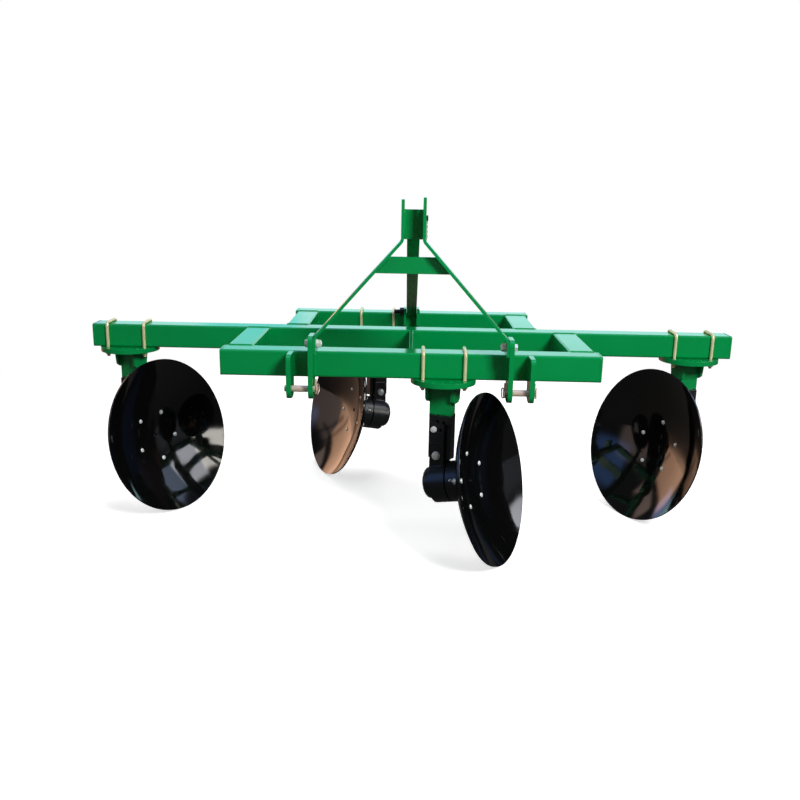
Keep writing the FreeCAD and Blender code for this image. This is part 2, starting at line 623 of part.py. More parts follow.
def ubolt_pair(unit):
    """Two square U-bolts over the beam, with their legs through the swivel plate's ring of holes."""
    half_y = size("tube_width") / 2 + size("ubolt_clearance") + size("ubolt_rod")
    hoops = []
    for side, sign in (("a", -1), ("b", 1)):
        name = unit.label("ubolt_" + side)
        body = new_body(name)
        path = new_sketch(body, name + "_path", "YZ_Plane")
        foot, crown = -size("ubolt_tail") - size("swivel_thick"), size("tube_width") + size("ubolt_rod")
        corner = size("ubolt_corner")
        bend = [Vector(half_y - corner, crown - corner, 0), Vector(-half_y + corner, crown - corner, 0)]
        arcs = [Part.ArcOfCircle(Part.Circle(bend[0], Vector(0, 0, 1), corner), 0, math.pi / 2),
                Part.ArcOfCircle(Part.Circle(bend[1], Vector(0, 0, 1), corner), math.pi / 2, math.pi)]
        lines = [Part.LineSegment(Vector(half_y, foot, 0), Vector(half_y, crown - corner, 0)),
                 Part.LineSegment(Vector(half_y - corner, crown, 0), Vector(-half_y + corner, crown, 0)),
                 Part.LineSegment(Vector(-half_y, crown - corner, 0), Vector(-half_y, foot, 0))]
        for piece in (lines[0], arcs[0], lines[1], arcs[1], lines[2]):
            path.addGeometry(piece, False)
        for i in range(4):
            path.addConstraint(Sketcher.Constraint("Tangent", i, 2, i + 1, 1))
        path.addConstraint(Sketcher.Constraint("Vertical", 0))
        path.addConstraint(Sketcher.Constraint("Vertical", 4))
        path.addConstraint(Sketcher.Constraint("Equal", 1, 3))
        radius = path.addConstraint(Sketcher.Constraint("Radius", 1, corner))
        path.setExpression(f"Constraints[{radius}]", "Sizes.ubolt_corner")
        reach = "(Sizes.tube_width / 2 + Sizes.ubolt_clearance + Sizes.ubolt_rod)"
        leg_end = "-Sizes.ubolt_tail - Sizes.swivel_thick"
        dimension_point(path, 0, 1, reach, leg_end)
        dimension_point(path, 4, 2, f"-{reach}", leg_end)
        top = path.addConstraint(Sketcher.Constraint("DistanceY", -1, 1, 2, 1, crown))
        path.setExpression(f"Constraints[{top}]", "Sizes.tube_width + Sizes.ubolt_rod")
        profile = new_sketch(body, name + "_rod", "XY_Plane")
        profile.AttachmentOffset = Placement(Vector(0, 0, foot), Rotation())
        add_circle(profile, "0", reach, "Sizes.ubolt_rod")
        pipe = body.newObject("PartDesign::AdditivePipe", name + "_pipe")
        pipe.Profile = profile
        pipe.Spine = path
        place(body, unit.x + sign * half_spacing(), unit.y, beam_bottom)
        hoops.append(body)
    keep(together(unit.label("ubolts"), hoops), unit.label("ubolts"))


def leg_steps():
    """Ring steps between the legs on one side of the post's axis, just under a quarter turn."""
    return math.ceil(size("swivel_hole_count") / 4) - 1


def half_spacing():
    """Half the distance between a unit's two U-bolts, so that all four legs meet ring holes."""
    half_y = size("tube_width") / 2 + size("ubolt_clearance") + size("ubolt_rod")
    half_angle = math.pi * leg_steps() / size("swivel_hole_count")
    return half_y / math.tan(half_angle)


def ring_radius():
    half_y = size("tube_width") / 2 + size("ubolt_clearance") + size("ubolt_rod")
    return math.hypot(half_y, half_spacing())


def swivel_plate(unit):
    """Round plate under the beam with a ring of holes, so that the unit clamps at set angles."""
    label = unit.label("swivel_plate")
    body = new_body(label)
    sketch = new_sketch(body, label + "_outline", "XY_Plane")
    add_circle(sketch, "0", "0", "Sizes.swivel_radius")
    pad(body, sketch, label + "_pad", "Sizes.swivel_thick")
    hole = new_sketch(body, label + "_hole", "XY_Plane")
    half_angle = math.pi * leg_steps() / size("swivel_hole_count")
    centre = Vector(ring_radius() * math.cos(half_angle), ring_radius() * math.sin(half_angle), 0)
    hole.addGeometry(Part.Circle(centre, Vector(0, 0, 1), size("swivel_hole_radius")), False)
    hole.addConstraint(Sketcher.Constraint("DistanceX", -1, 1, 0, 3, centre.x))
    hole.addConstraint(Sketcher.Constraint("DistanceY", -1, 1, 0, 3, centre.y))
    radius = hole.addConstraint(Sketcher.Constraint("Radius", 0, size("swivel_hole_radius")))
    hole.setExpression(f"Constraints[{radius}]", "Sizes.swivel_hole_radius")
    bore = pocket_through(body, hole, label + "_bore")
    ring = body.newObject("PartDesign::PolarPattern", label + "_ring")
    ring.Originals = [bore]
    ring.Axis = (hole, ["N_Axis"])
    ring.Angle = 360
    ring.setExpression("Occurrences", "Sizes.swivel_hole_count")
    body.Tip = ring
    place(body, unit.x, unit.y, beam_bottom - size("swivel_thick") / 2)
    keep(body, label)


def post(unit):
    """Rectangular tube below the swivel plate, with a cheek plate on each narrow face."""
    label = unit.label("post")
    body = new_body(label)
    outer = new_sketch(body, label + "_outer", "XY_Plane")
    u, v = "Sizes.post_length_u / 2", "Sizes.post_width_v / 2"
    add_outline(outer, [(f"-{u}", f"-{v}"), (u, f"-{v}"), (u, v), (f"-{u}", v)])
    column = body.newObject("PartDesign::Pad", label + "_column")
    column.Profile = outer
    column.Reversed = True
    column.setExpression("Length", "Sizes.hub_drop - Sizes.swivel_thick - Sizes.post_foot_rise")
    for side, sign in (("disc", 1), ("far", -1)):
        cheek_plate(body, f"{label}_cheek_{side}", sign)
    inner = new_sketch(body, label + "_inner", "XY_Plane")
    iu, iv = f"({u} - Sizes.post_wall)", f"({v} - Sizes.post_wall)"
    add_outline(inner, [(f"-{iu}", f"-{iv}"), (iu, f"-{iv}"), (iu, iv), (f"-{iu}", iv)])
    pocket_through(body, inner, label + "_hollow")
    bolts = new_sketch(body, label + "_bolts", "XZ_Plane")
    axis_z = "Sizes.swivel_thick - Sizes.hub_drop"
    add_circle(bolts, "-Sizes.pivot_bolt_back", f"{axis_z} + Sizes.pivot_bolt_rise", "Sizes.pivot_bolt_radius")
    u, z = tilt_hole("Sizes.tilt_near_reach", "Sizes.tilt_near_turn")
    add_circle(bolts, u, f"{axis_z} + {z}", "Sizes.tilt_hole_radius")
    pocket_through(body, bolts, label + "_bolt_holes")
    body.Placement = unit.upright.multiply(Placement(Vector(0, 0, swivel_bottom), Rotation()))
    keep(body, label)


def cheek_plate(body, name, sign):
    """Upright plate on a narrow face of the post; it tapers down and slopes in to the post at its foot."""
    sketch = new_sketch(body, name, "YZ_Plane")
    middle = sign * (size("post_length_u") + size("cheek_thick") - size("overlap")) / 2
    sketch.AttachmentOffset = Placement(Vector(0, 0, middle), Rotation())
    slope_top = "Sizes.cheek_foot_height - Sizes.cheek_height"
    right = [("Sizes.post_width_v / 2", "-Sizes.cheek_height"), ("Sizes.cheek_low_width / 2", slope_top),
             ("Sizes.cheek_top_width / 2", "0")]
    left = [(f"-({y})", z) for y, z in reversed(right)]
    add_outline(sketch, right + left)
    pad(body, sketch, name + "_pad", "Sizes.cheek_thick + Sizes.overlap")


def tilt_hole(reach, turn):
    """A tilt hole's distance from the post's axis and its height above the hub's axis."""
    return (f"{reach} * sin(({turn}) * 1 deg) - Sizes.pivot_bolt_back",
            f"Sizes.pivot_bolt_rise + {reach} * cos(({turn}) * 1 deg)")


def bracket_plate(name, neck, head_front):
    """One plate of the bracket: a stem up from the hub, wider above its neck, with the bolt holes."""
    plate = new_body(name)
    sketch = new_sketch(plate, name + "_outline", "XZ_Plane")
    top = "Sizes.hub_drop - Sizes.bracket_drop"
    add_outline(sketch, [("-Sizes.bracket_back", "0"), ("Sizes.bracket_stem_front", "0"),
                         ("Sizes.bracket_stem_front", neck), (head_front, neck), (head_front, top),
                         ("-Sizes.bracket_back", top)])
    pad(plate, sketch, name + "_pad", "Sizes.bracket_thick")
    holes = new_sketch(plate, name + "_holes", "XZ_Plane")
    add_circle(holes, "-Sizes.pivot_bolt_back", "Sizes.pivot_bolt_rise", "Sizes.pivot_bolt_radius")
    for row in ("near", "far"):
        for step in (0, 1):
            turn = f"Sizes.tilt_{row}_turn + {step} * Sizes.tilt_{row}_step"
            add_circle(holes, *tilt_hole(f"Sizes.tilt_{row}_reach", turn), "Sizes.tilt_hole_radius")
    pocket_through(plate, holes, name + "_bores")
    return plate


def tilt_bracket(unit):
    """Two plates that hold the post between them, welded to the hub housing with its fixed spindle."""
    label = unit.label("bracket")
    front_neck = "Sizes.hub_drop - Sizes.bracket_drop - Sizes.bracket_head_height"
    barrel_top = ("(Sizes.hub_radius + Sizes.rear_plate_front * sin(Sizes.disc_tilt * 1 deg))"
                  " / cos(Sizes.disc_tilt * 1 deg)")
    front = bracket_plate(label + "_front_plate", front_neck, "Sizes.bracket_head_front")
    rear = bracket_plate(label + "_rear_plate", f"{barrel_top} + Sizes.rear_plate_gap",
                         "Sizes.rear_plate_front")
    offset = unit.front_side * (size("post_width_v") + size("bracket_thick")) / 2
    place(front, 0, offset, axis_height)
    place(rear, 0, -offset, axis_height)

    # Housing, shoulder and spindle in one turned profile; sketch x runs along the hub's axis
    turned = new_body(label + "_housing")
    profile = new_sketch(turned, label + "_profile", "XZ_Plane")
    end = "Sizes.housing_front + Sizes.spindle_length"
    add_outline(profile, [("-Sizes.housing_back", "0"), (end, "0"), (end, "Sizes.spindle_radius"),
                          ("Sizes.housing_front", "Sizes.spindle_radius"),
                          ("Sizes.housing_front", "Sizes.hub_radius"),
                          ("-Sizes.housing_shoulder", "Sizes.hub_radius"),
                          ("-Sizes.housing_shoulder", "Sizes.housing_radius"),
                          ("-Sizes.housing_back", "Sizes.housing_radius")])
    spun = turned.newObject("PartDesign::Revolution", label + "_revolution")
    spun.Profile = profile
    spun.ReferenceAxis = (profile, ["H_Axis"])
    spun.Angle = 360
    doc.recompute()
    circles = [(f"Edge{i}", edge.Curve) for i, edge in enumerate(spun.Shape.Edges, start=1)
               if edge.Curve.TypeId == "Part::GeomCircle"]
    back_edge = [name for name, circle in circles if abs(circle.Center.x + size("housing_back")) < 1e-6]
    rounded = turned.newObject("PartDesign::Fillet", label + "_back_round")
    rounded.Base = (spun, back_edge)
    rounded.setExpression("Radius", "Sizes.housing_round")
    turned.Tip = rounded
    turned.Placement = unit.tilted
    welded = fuse(label, front, rear, turned)
    welded.Placement = unit.upright
    keep(welded, label)


def sphere_at(name, distance, radius_formula):
    return primitive("Sphere", name, Placement(Vector(distance, 0, 0), Rotation()), Radius=radius_formula)


def hub(unit):
    """Turning hub: a barrel over the spindle with a dished flange that backs the disc."""
    label = unit.label("hub")
    ball_centre = size("disc_reach") + math.sqrt(dish_sphere ** 2 - size("disc_radius") ** 2)
    start = size("housing_front") + size("hub_gap")
    back_of_disc = f"{DISH_SPHERE} + Sizes.disc_thick"
    blank = primitive("Cylinder", label + "_blank", along(size("hub_flange_start")),
                      Radius="Sizes.hub_flange_radius", Height="Sizes.disc_reach - Sizes.hub_flange_start")
    flange = common(label + "_flange", blank,
                    sphere_at(label + "_flange_ball", ball_centre, f"{back_of_disc} + Sizes.hub_flange_thick"))
    barrel = primitive("Cylinder", label + "_barrel", along(start), Radius="Sizes.hub_radius",
                       Height="Sizes.disc_reach - Sizes.housing_front - Sizes.hub_gap")
    solid = fuse(label + "_solid", flange, barrel)
    seated = cut(label + "_seated", solid, sphere_at(label + "_seat_ball", ball_centre, back_of_disc))
    depth = "Sizes.spindle_length - Sizes.hub_gap + Sizes.spindle_end_gap"
    bore = primitive("Cylinder", label + "_bore", along(start),
                     Radius="Sizes.spindle_radius + Sizes.spindle_clearance", Height=depth)
    turning = cut(label, seated, bore)
    turning.Placement = unit.on_axis
    keep(turning, label)


def disc(unit):
    """Dished disc, a slice of a spherical shell, with a pilot hole at its centre."""
    label = unit.label("disc")
    ball_centre = size("disc_reach") + math.sqrt(dish_sphere ** 2 - size("disc_radius") ** 2)
    shell = cut(label + "_shell",
                sphere_at(label + "_outer_ball", ball_centre, f"{DISH_SPHERE} + Sizes.disc_thick"),
                sphere_at(label + "_inner_ball", ball_centre, DISH_SPHERE))
    start = size("disc_reach") - size("disc_depth") - size("disc_thick") - size("overlap")
    blank = primitive("Cylinder", label + "_blank", along(start), Radius="Sizes.disc_radius",
                      Height="Sizes.disc_depth + Sizes.disc_thick + Sizes.overlap")
    dish = common(label + "_dish", shell, blank)
    pilot = primitive("Cylinder", label + "_pilot", along(start), Radius="Sizes.disc_pilot_radius",
                      Height="Sizes.disc_depth")
    blade = cut(label, dish, pilot)
    blade.Placement = unit.on_axis
    keep(blade, label)


# --- build, check and write -------------------------------------------------------------------------

frame_tubes()
end_caps()
centre_rib()
hitch()
mast_side("left", -1, "Sizes.mast_head_lower")
mast_side("right", 1, "0")
cross_brace()
head_back_plate()
rear_stay()
stay_ears()
for unit_name, unit_post in UNITS:
    disc_unit = Unit(unit_name, unit_post)
    ubolt_pair(disc_unit)
    swivel_plate(disc_unit)
    post(disc_unit)
    tilt_bracket(disc_unit)
    hub(disc_unit)
    disc(disc_unit)
doc.recompute()

failed = [obj.Label for obj in doc.Objects if "Invalid" in obj.State or "Error" in obj.State]
if failed:
    raise RuntimeError(f"objects that did not compute: {failed}")
for part in sub_parts:
    if part.Shape.isNull() or not part.Shape.isValid():
        raise RuntimeError(f"{part.Label} has no valid shape")

os.makedirs(NODES_FOLDER, exist_ok=True)
steel_volume = 0.0
for part in sub_parts:
    part.Shape.exportStep(os.path.join(NODES_FOLDER, part.Label + ".step"))
    steel_volume += part.Shape.Volume
print(f"{len(sub_parts)} nodes, {steel_volume * STEEL_DENSITY:.1f} kg of steel, frame top at {beam_top:.1f} mm")
print(f"origin {origin_y:.2f} mm behind the front beam's front face, disc axis at the post {axis_height:.2f}")
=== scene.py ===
import bpy
import numpy as np
import json
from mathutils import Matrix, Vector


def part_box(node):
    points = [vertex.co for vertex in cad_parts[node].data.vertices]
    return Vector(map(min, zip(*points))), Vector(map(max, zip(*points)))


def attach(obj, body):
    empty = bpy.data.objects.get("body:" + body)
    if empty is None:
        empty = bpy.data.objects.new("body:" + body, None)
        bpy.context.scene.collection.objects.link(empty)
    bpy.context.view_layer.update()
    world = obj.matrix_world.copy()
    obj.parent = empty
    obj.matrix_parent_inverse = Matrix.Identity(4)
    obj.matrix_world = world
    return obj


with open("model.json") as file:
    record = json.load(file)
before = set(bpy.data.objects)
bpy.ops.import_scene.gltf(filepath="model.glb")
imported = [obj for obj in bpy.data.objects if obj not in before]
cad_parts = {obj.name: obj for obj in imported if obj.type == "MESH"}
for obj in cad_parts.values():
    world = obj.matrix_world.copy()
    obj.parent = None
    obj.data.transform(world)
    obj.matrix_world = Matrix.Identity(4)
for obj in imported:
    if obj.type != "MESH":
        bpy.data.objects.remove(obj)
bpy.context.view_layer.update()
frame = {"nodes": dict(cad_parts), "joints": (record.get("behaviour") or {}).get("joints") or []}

# ---------------------------------------------------------------------------------------------------
# Studio: camera, white floor, lamps overhead, and a surround of dark flags and coloured panels.
# The surround is there because a gloss surface shows only what is around it, and only gloss reflections
# see it.


def srgb(code):
    """sRGB hex code to linear RGBA: a channel c becomes c/12.92 up to 0.04045, else ((c+0.055)/1.055)^2.4."""
    c = np.array([int(code[i:i + 2], 16) / 255 for i in (1, 3, 5)])
    linear = np.where(c <= 0.04045, c / 12.92, ((c + 0.055) / 1.055) ** 2.4)
    return (*linear.tolist(), 1.0)


def node(tree, kind, settings=None, **links):
    """Add a shader node. Settings are its properties. Links are its inputs, by name or as i0, i1 by number,
    each with a value or a socket."""
    made = tree.nodes.new(kind)
    for key, value in (settings or {}).items():
        setattr(made, key, value)
    for key, value in links.items():
        by_number = key[0] == "i" and key[1:].isdigit()
        socket = made.inputs[int(key[1:]) if by_number else key.replace("_", " ")]
        if isinstance(value, bpy.types.NodeSocket):
            tree.links.new(value, socket)
        else:
            socket.default_value = value
    return made


def new_material(name):
    """An empty node material and its output node."""
    material = bpy.data.materials.new(name)
    material.use_nodes = True
    tree = material.node_tree
    tree.nodes.clear()
    return material, tree, tree.nodes.new("ShaderNodeOutputMaterial")


def grid_quads(rows, columns, around):
    """Corners of a grid's quads. Point (i, j) is number i * columns + j, and around joins the last column to
    the first."""
    i, j = np.meshgrid(np.arange(rows - 1), np.arange(columns if around else columns - 1), indexing="ij")
    here, beside = i * columns + j, i * columns + (j + 1) % columns
    return np.stack([here, beside, beside + columns, here + columns], -1).reshape(-1, 4)


def stage_object(name, mesh, material):
    """Link a piece of the studio, which isn't part of the machine."""
    mesh.materials.append(material)
    obj = bpy.data.objects.new(name, mesh)
    bpy.context.scene.collection.objects.link(obj)
    return obj


scene = bpy.context.scene
scene.view_settings.view_transform = "Standard"

CAMERA_PLACE = (-0.0044, -3.3152, 1.2918)
CAMERA_TURN = (75.798, -1.058, 0.854)  # degrees
CAMERA_SENSOR = 36                     # mm, as is the lens
CAMERA_LENS = 38.978
camera_data = bpy.data.cameras.new("camera")
camera_data.sensor_width = CAMERA_SENSOR
camera_data.lens = CAMERA_LENS
camera = bpy.data.objects.new("camera", camera_data)
camera.location = CAMERA_PLACE
camera.rotation_euler = np.radians(CAMERA_TURN)
scene.collection.objects.link(camera)
scene.camera = camera


def background_rays(tree):
    """1 for the rays that show the studio itself: camera, glossy and transmission rays."""
    rays = node(tree, "ShaderNodeLightPath")
    seen = node(tree, "ShaderNodeMath", {"operation": "MAXIMUM"}, i0=rays.outputs["Is Camera Ray"],
                i1=rays.outputs["Is Glossy Ray"])
    return node(tree, "ShaderNodeMath", {"operation": "MAXIMUM"}, i0=seen.outputs[0],
                i1=rays.outputs["Is Transmission Ray"]).outputs[0]


# Floor: lit white paper near the machine, where the soft shadow falls, and plain white further out. The light
# that it sends up on the machine is that of a grey yard, so undersides stay dark
FLOOR_HALF = 40.0
PAPER_FADE = (1.6, 3.6)  # distances between which the lit paper turns to plain white
PAPER_GLOW = 0.62
floor_mesh = bpy.data.meshes.new("floor")
corners = FLOOR_HALF * np.array([(-1, -1, 0), (1, -1, 0), (1, 1, 0), (-1, 1, 0)], float)
floor_mesh.from_pydata(corners.tolist(), [], [(0, 1, 2, 3)])
paper, tree, out = new_material("white_studio_floor")
place = node(tree, "ShaderNodeTexCoord")
far = node(tree, "ShaderNodeVectorMath", {"operation": "LENGTH"}, i0=place.outputs["Object"])
far = node(tree, "ShaderNodeMapRange", {"interpolation_type": "SMOOTHSTEP"}, i0=far.outputs["Value"],
           i1=PAPER_FADE[0], i2=PAPER_FADE[1])
lit = node(tree, "ShaderNodeBsdfDiffuse", Color=srgb("#EDEDED"))
yard = node(tree, "ShaderNodeBsdfDiffuse", Color=srgb("#5A5A58"))
glow = node(tree, "ShaderNodeEmission", Color=(1, 1, 1, 1), Strength=PAPER_GLOW)
near_floor = node(tree, "ShaderNodeAddShader", i0=lit.outputs[0], i1=glow.outputs[0])
white = node(tree, "ShaderNodeEmission", Color=(1, 1, 1, 1), Strength=1.0)
shown = node(tree, "ShaderNodeMixShader", i0=far.outputs["Result"], i1=near_floor.outputs[0],
             i2=white.outputs[0])
mix = node(tree, "ShaderNodeMixShader", i0=background_rays(tree), i1=yard.outputs[0], i2=shown.outputs[0])
tree.links.new(mix.outputs[0], out.inputs["Surface"])
stage_object("floor", floor_mesh, paper)

# The camera sees white all round, and the machine gets a weak fill from it
WORLD_FILL = 0.18
world = bpy.data.worlds.new("studio")
world.use_nodes = True
scene.world = world
tree = world.node_tree
tree.nodes.clear()
fill = node(tree, "ShaderNodeBackground", Color=(1, 1, 1, 1), Strength=WORLD_FILL)
white = node(tree, "ShaderNodeBackground", Color=(1, 1, 1, 1), Strength=1.0)
mix = node(tree, "ShaderNodeMixShader", i0=background_rays(tree), i1=fill.outputs[0], i2=white.outputs[0])
node(tree, "ShaderNodeOutputWorld", Surface=mix.outputs[0])

# Square area lamps, kept out of the gloss: place, turn in degrees, power in watts and side in metres
for name, place, turn, power, size in (
        ("key_lamp", (2.4, -4.2, 3.6), (54, 0, 30), 285, 1.3),
        ("fill_lamp", (-2.6, -3.0, 3.4), (44, 0, -40), 30, 2.4),
        ("back_lamp", (0.0, 2.6, 4.2), (-32, 0, 0), 115, 2.6)):
    lamp_data = bpy.data.lights.new(name, "AREA")
    lamp_data.energy = power
    lamp_data.size = size
    lamp = bpy.data.objects.new(name, lamp_data)
    lamp.visible_glossy = False
    lamp.location = place
    lamp.rotation_euler = np.radians(turn)
    scene.collection.objects.link(lamp)

# Panels of the surround: middle azimuth (0 = rear, 90 = right) and elevation, half extents and soft edge,
# all in degrees, then colour and brightness
PANELS = [
    (2, 12, 28, 9, 3, "#B8EFF4", 1.75),      # pale sky behind, which the beams' tops show
    (-13.5, 12.6, 3.5, 1.5, 0.8, "#FF8080", -2.6),  # a tree before it, which takes light away
    (128, 29, 15, 14, 2.5, "#FFFAF0", 10.0),  # three windows on the right
    (98, 33, 16, 13, 2.5, "#F4F7FF", 6.5),
    (70, 33, 13, 11, 4, "#C4DAFF", 2.0),
    (104, 6, 26, 9, 6, "#D8E0F0", 0.35),     # dim wall under them
    (-50, 7, 20, 10, 3, "#B48A6E", 7.0),     # sunlit wall, rear left
    (-90, 10, 20, 13, 5, "#A48E86", 2.2),    # its duller end
    (-54, 28, 14, 5, 2.5, "#AC9488", 3.0),   # its top, over a dark gap
    (-31, 13, 5, 5, 2.5, "#8FA8E8", 2.2),    # sky beside the wall
    (-116, 30, 18, 17, 5, "#6496E6", 1.6),   # blue window on the left
    (0, 82, 180, 20, 12, "#8FB4FF", 2.2),    # open roof
]
# Dark posts and branches before them: azimuth and elevation of both ends, and the half width
BARS = [(-86, 18, -50, 19.5, 1.2), (-88, 25, -66, 6, 1.0), (-76, 26, -56, 2, 0.8)]
BAR_SHADE = 0.7       # share of the light that a bar takes away
BAR_SOFT = 0.5        # softness of its edges
SURROUND_DARK = 0.05  # light of the dark flags between the panels


def soft_step(x):
    """Smooth fall from 1 to 0 about x = 0: (1 - tanh(x / 2)) / 2."""
    return (1 - np.tanh(x / 2)) / 2


def surround_light(azimuth, elevation):
    """Light of the flags and panels. A panel adds its power times soft_step(4 (d - half extent) / soft edge)
    for the distance d in azimuth, times the same for the distance in elevation. Bars shade the panels."""
    light = np.full(azimuth.shape + (3,), SURROUND_DARK)
    shade = np.ones(azimuth.shape)
    for a0, e0, a1, e1, half in BARS:
        run = np.array([a1 - a0, e1 - e0], float)
        along = np.clip(((azimuth - a0) * run[0] + (elevation - e0) * run[1]) / (run @ run), 0, 1)
        off = np.hypot(azimuth - a0 - along * run[0], elevation - e0 - along * run[1])
        shade *= 1 - BAR_SHADE * soft_step((off - half) / BAR_SOFT)
    for middle, height, half_a, half_e, soft, colour, power in PANELS:
        a = np.abs((azimuth - middle + 180) % 360 - 180)
        e = np.abs(elevation - height)
        inside = soft_step((a - half_a) / soft * 4) * soft_step((e - half_e) / soft * 4)
        light += (inside * shade)[..., None] * power * np.array(srgb(colour)[:3])
    return np.maximum(light, 0)


def glossy_only(obj):
    """A studio piece that only gloss reflections see."""
    obj.visible_camera = obj.visible_diffuse = obj.visible_shadow = False
    obj.visible_transmission = obj.visible_volume_scatter = False


def painted_mesh(name, points, colours, around):
    """Mesh of a grid of points with its colours kept as a point attribute."""
    mesh = bpy.data.meshes.new(name)
    mesh.from_pydata(points.reshape(-1, 3).tolist(), [], grid_quads(*points.shape[:2], around).tolist())
    paint = mesh.color_attributes.new("glow", "FLOAT_COLOR", "POINT")
    values = np.ones((len(mesh.vertices), 4), np.float32)
    values[:, :3] = colours.reshape(-1, 3)
    paint.data.foreach_set("color", values.ravel())
    return mesh


flag_cloth, tree, out = new_material("flags_and_panels")
paint = node(tree, "ShaderNodeAttribute", {"attribute_name": "glow"})
light = node(tree, "ShaderNodeEmission", Color=paint.outputs["Color"], Strength=1.0)
tree.links.new(light.outputs[0], out.inputs["Surface"])
SURROUND_RADIUS = 12.0
azimuth, elevation = np.meshgrid(np.linspace(-180, 180, 361)[:-1], np.linspace(-4, 89.5, 141))
a, e = np.radians(azimuth), np.radians(elevation)
sphere = SURROUND_RADIUS * np.stack([np.sin(a) * np.cos(e), np.cos(a) * np.cos(e), np.sin(e)], -1)
surround = painted_mesh("surround", sphere, surround_light(azimuth, elevation), True)
glossy_only(stage_object("surround", surround, flag_cloth))
# Dark mat on the floor around the machine, which warms to lit ground at the rear left
MAT_HALF = 11.0
MAT_LEVEL = 0.0005  # just over the floor
MAT_DARK = 0.06
GROUND_POWER = 4.5
GROUND_FRONT = 2.9   # lit ground is behind this y
GROUND_RIGHT = -0.5  # and left of this x
x, y = np.meshgrid(np.linspace(-MAT_HALF, MAT_HALF, 89), np.linspace(-MAT_HALF, MAT_HALF, 89))
lit_ground = soft_step((GROUND_FRONT - y) * 1.4) * soft_step((x - GROUND_RIGHT) * 2)
ground = MAT_DARK + lit_ground[..., None] * GROUND_POWER * np.array(srgb("#B48A6E")[:3])
mat = painted_mesh("dark_mat", np.stack([x, y, np.full_like(x, MAT_LEVEL)], -1), ground, False)
glossy_only(stage_object("dark_mat", mat, flag_cloth))

# ---------------------------------------------------------------------------------------------------
# Welded frame: square steel tube, shot-blasted and powder coated green.
# The thick baked coat rounds every edge a little, and has the faint dimples of orange peel under its gloss.

beam_low, beam_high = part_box("middle_beam")
BEAM_TOP, BEAM_BOTTOM = beam_high[2], beam_low[2]
FRONT_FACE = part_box("front_beam")[0][1]
PEEL_MM = 2.6        # spacing of the orange peel's dimples
EDGE_ROUND = 0.0016  # radius that the coat gives a sharp edge


def peel(tree, place, spacing_mm, depth, edge):
    """Normal of a coated surface: rounded edges under a noise bump of the given spacing."""
    rounded = node(tree, "ShaderNodeBevel", {"samples": 4}, Radius=edge)
    noise = node(tree, "ShaderNodeTexNoise", Vector=place, Scale=1000 / spacing_mm, Detail=2.0)
    return node(tree, "ShaderNodeBump", Height=noise.outputs["Fac"], Strength=0.5, Distance=depth,
                Normal=rounded.outputs[0]).outputs[0]


def dress(material, *starts):
    """Give a material to the CAD nodes whose names start so."""
    for name, obj in frame["nodes"].items():
        if name.startswith(starts):
            for slot in obj.material_slots:
                slot.material = material


green, tree, out = new_material("green_powder_coat")
place = node(tree, "ShaderNodeTexCoord").outputs["Object"]
cloud = node(tree, "ShaderNodeTexNoise", Vector=place, Scale=7.0, Detail=3.0)
shade = node(tree, "ShaderNodeMix", {"data_type": "RGBA"}, i0=cloud.outputs["Fac"], i6=srgb("#008440"),
             i7=srgb("#008E48"))
rough = node(tree, "ShaderNodeMapRange", i0=cloud.outputs["Fac"], i3=0.12, i4=0.2)
coat = node(tree, "ShaderNodeBsdfPrincipled", Base_Color=shade.outputs[2], Roughness=rough.outputs[0],
            IOR=1.5, Normal=peel(tree, place, PEEL_MM, 0.00005, EDGE_ROUND))
tree.links.new(coat.outputs[0], out.inputs["Surface"])
dress(green, "front_", "middle_", "rear_", "beam_", "centre_", "hitch_ear_", "mast_", "stay_", "swivel_")

# ---------------------------------------------------------------------------------------------------
# Welds of the frame: MIG beads run along every joint, powder coated with the rest.
# Each bead is a row of overlapping ripples a few millimetres apart.

MM = 0.001
X, Y, Z = np.eye(3)
BEAD_PITCH = 4.5 * MM
BEAD_STEP = 1.1 * MM


def node_points(name):
    """A CAD node's points, one row each."""
    mesh = frame["nodes"][name].data
    points = np.empty(len(mesh.vertices) * 3, np.float32)
    mesh.vertices.foreach_get("co", points)
    return points.reshape(-1, 3).astype(float)


def node_box(name):
    """Lowest and highest corner of a CAD node as arrays."""
    return tuple(np.array(corner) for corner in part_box(name))


def extent(name, direction):
    """Least and greatest reach of a CAD node along a direction, from its points' dot products with it."""
    reach = node_points(name) @ direction
    return reach.min(), reach.max()


def add_piece(name, shells, material, body):
    """Join closed grids into one piece that rides on a body. In a grid (rows, columns, 3) the columns go
    round. A grid whose last row repeats its first is a ring, and any other gets a flat cap at each end. Faces
    are turned outwards by the sign of the volume, a sixth of the sum of a . (b x c) over the triangles."""
    points, faces, count = [], [], 0
    for shell in shells:
        rows, columns = shell.shape[:2]
        quads = grid_quads(rows, columns, True)
        ends = [np.arange(columns)[::-1], np.arange(columns) + (rows - 1) * columns]
        if np.allclose(shell[0], shell[-1]):
            shell, quads, ends = shell[:-1], quads % ((rows - 1) * columns), []
        flat = shell.reshape(-1, 3)
        fans = [np.stack([np.full(columns - 2, end[0]), end[1:-1], end[2:]], -1) for end in ends]
        a, b, c = (flat[corner] for corner in np.concatenate([quads[:, :3], quads[:, [0, 2, 3]], *fans]).T)
        order = 1 if np.sum(a * np.cross(b, c)) > 0 else -1
        faces += (quads[:, ::order] + count).tolist() + [(end[::order] + count).tolist() for end in ends]
        points.append(flat)
        count += len(flat)
    mesh = bpy.data.meshes.new(name)
    mesh.from_pydata(np.concatenate(points).tolist(), [], faces)
    mesh.shade_smooth()
    mesh.set_sharp_from_angle(angle=np.radians(38))
    mesh.materials.append(material)
    piece = bpy.data.objects.new(name, mesh)
    scene.collection.objects.link(piece)
    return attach(piece, body)


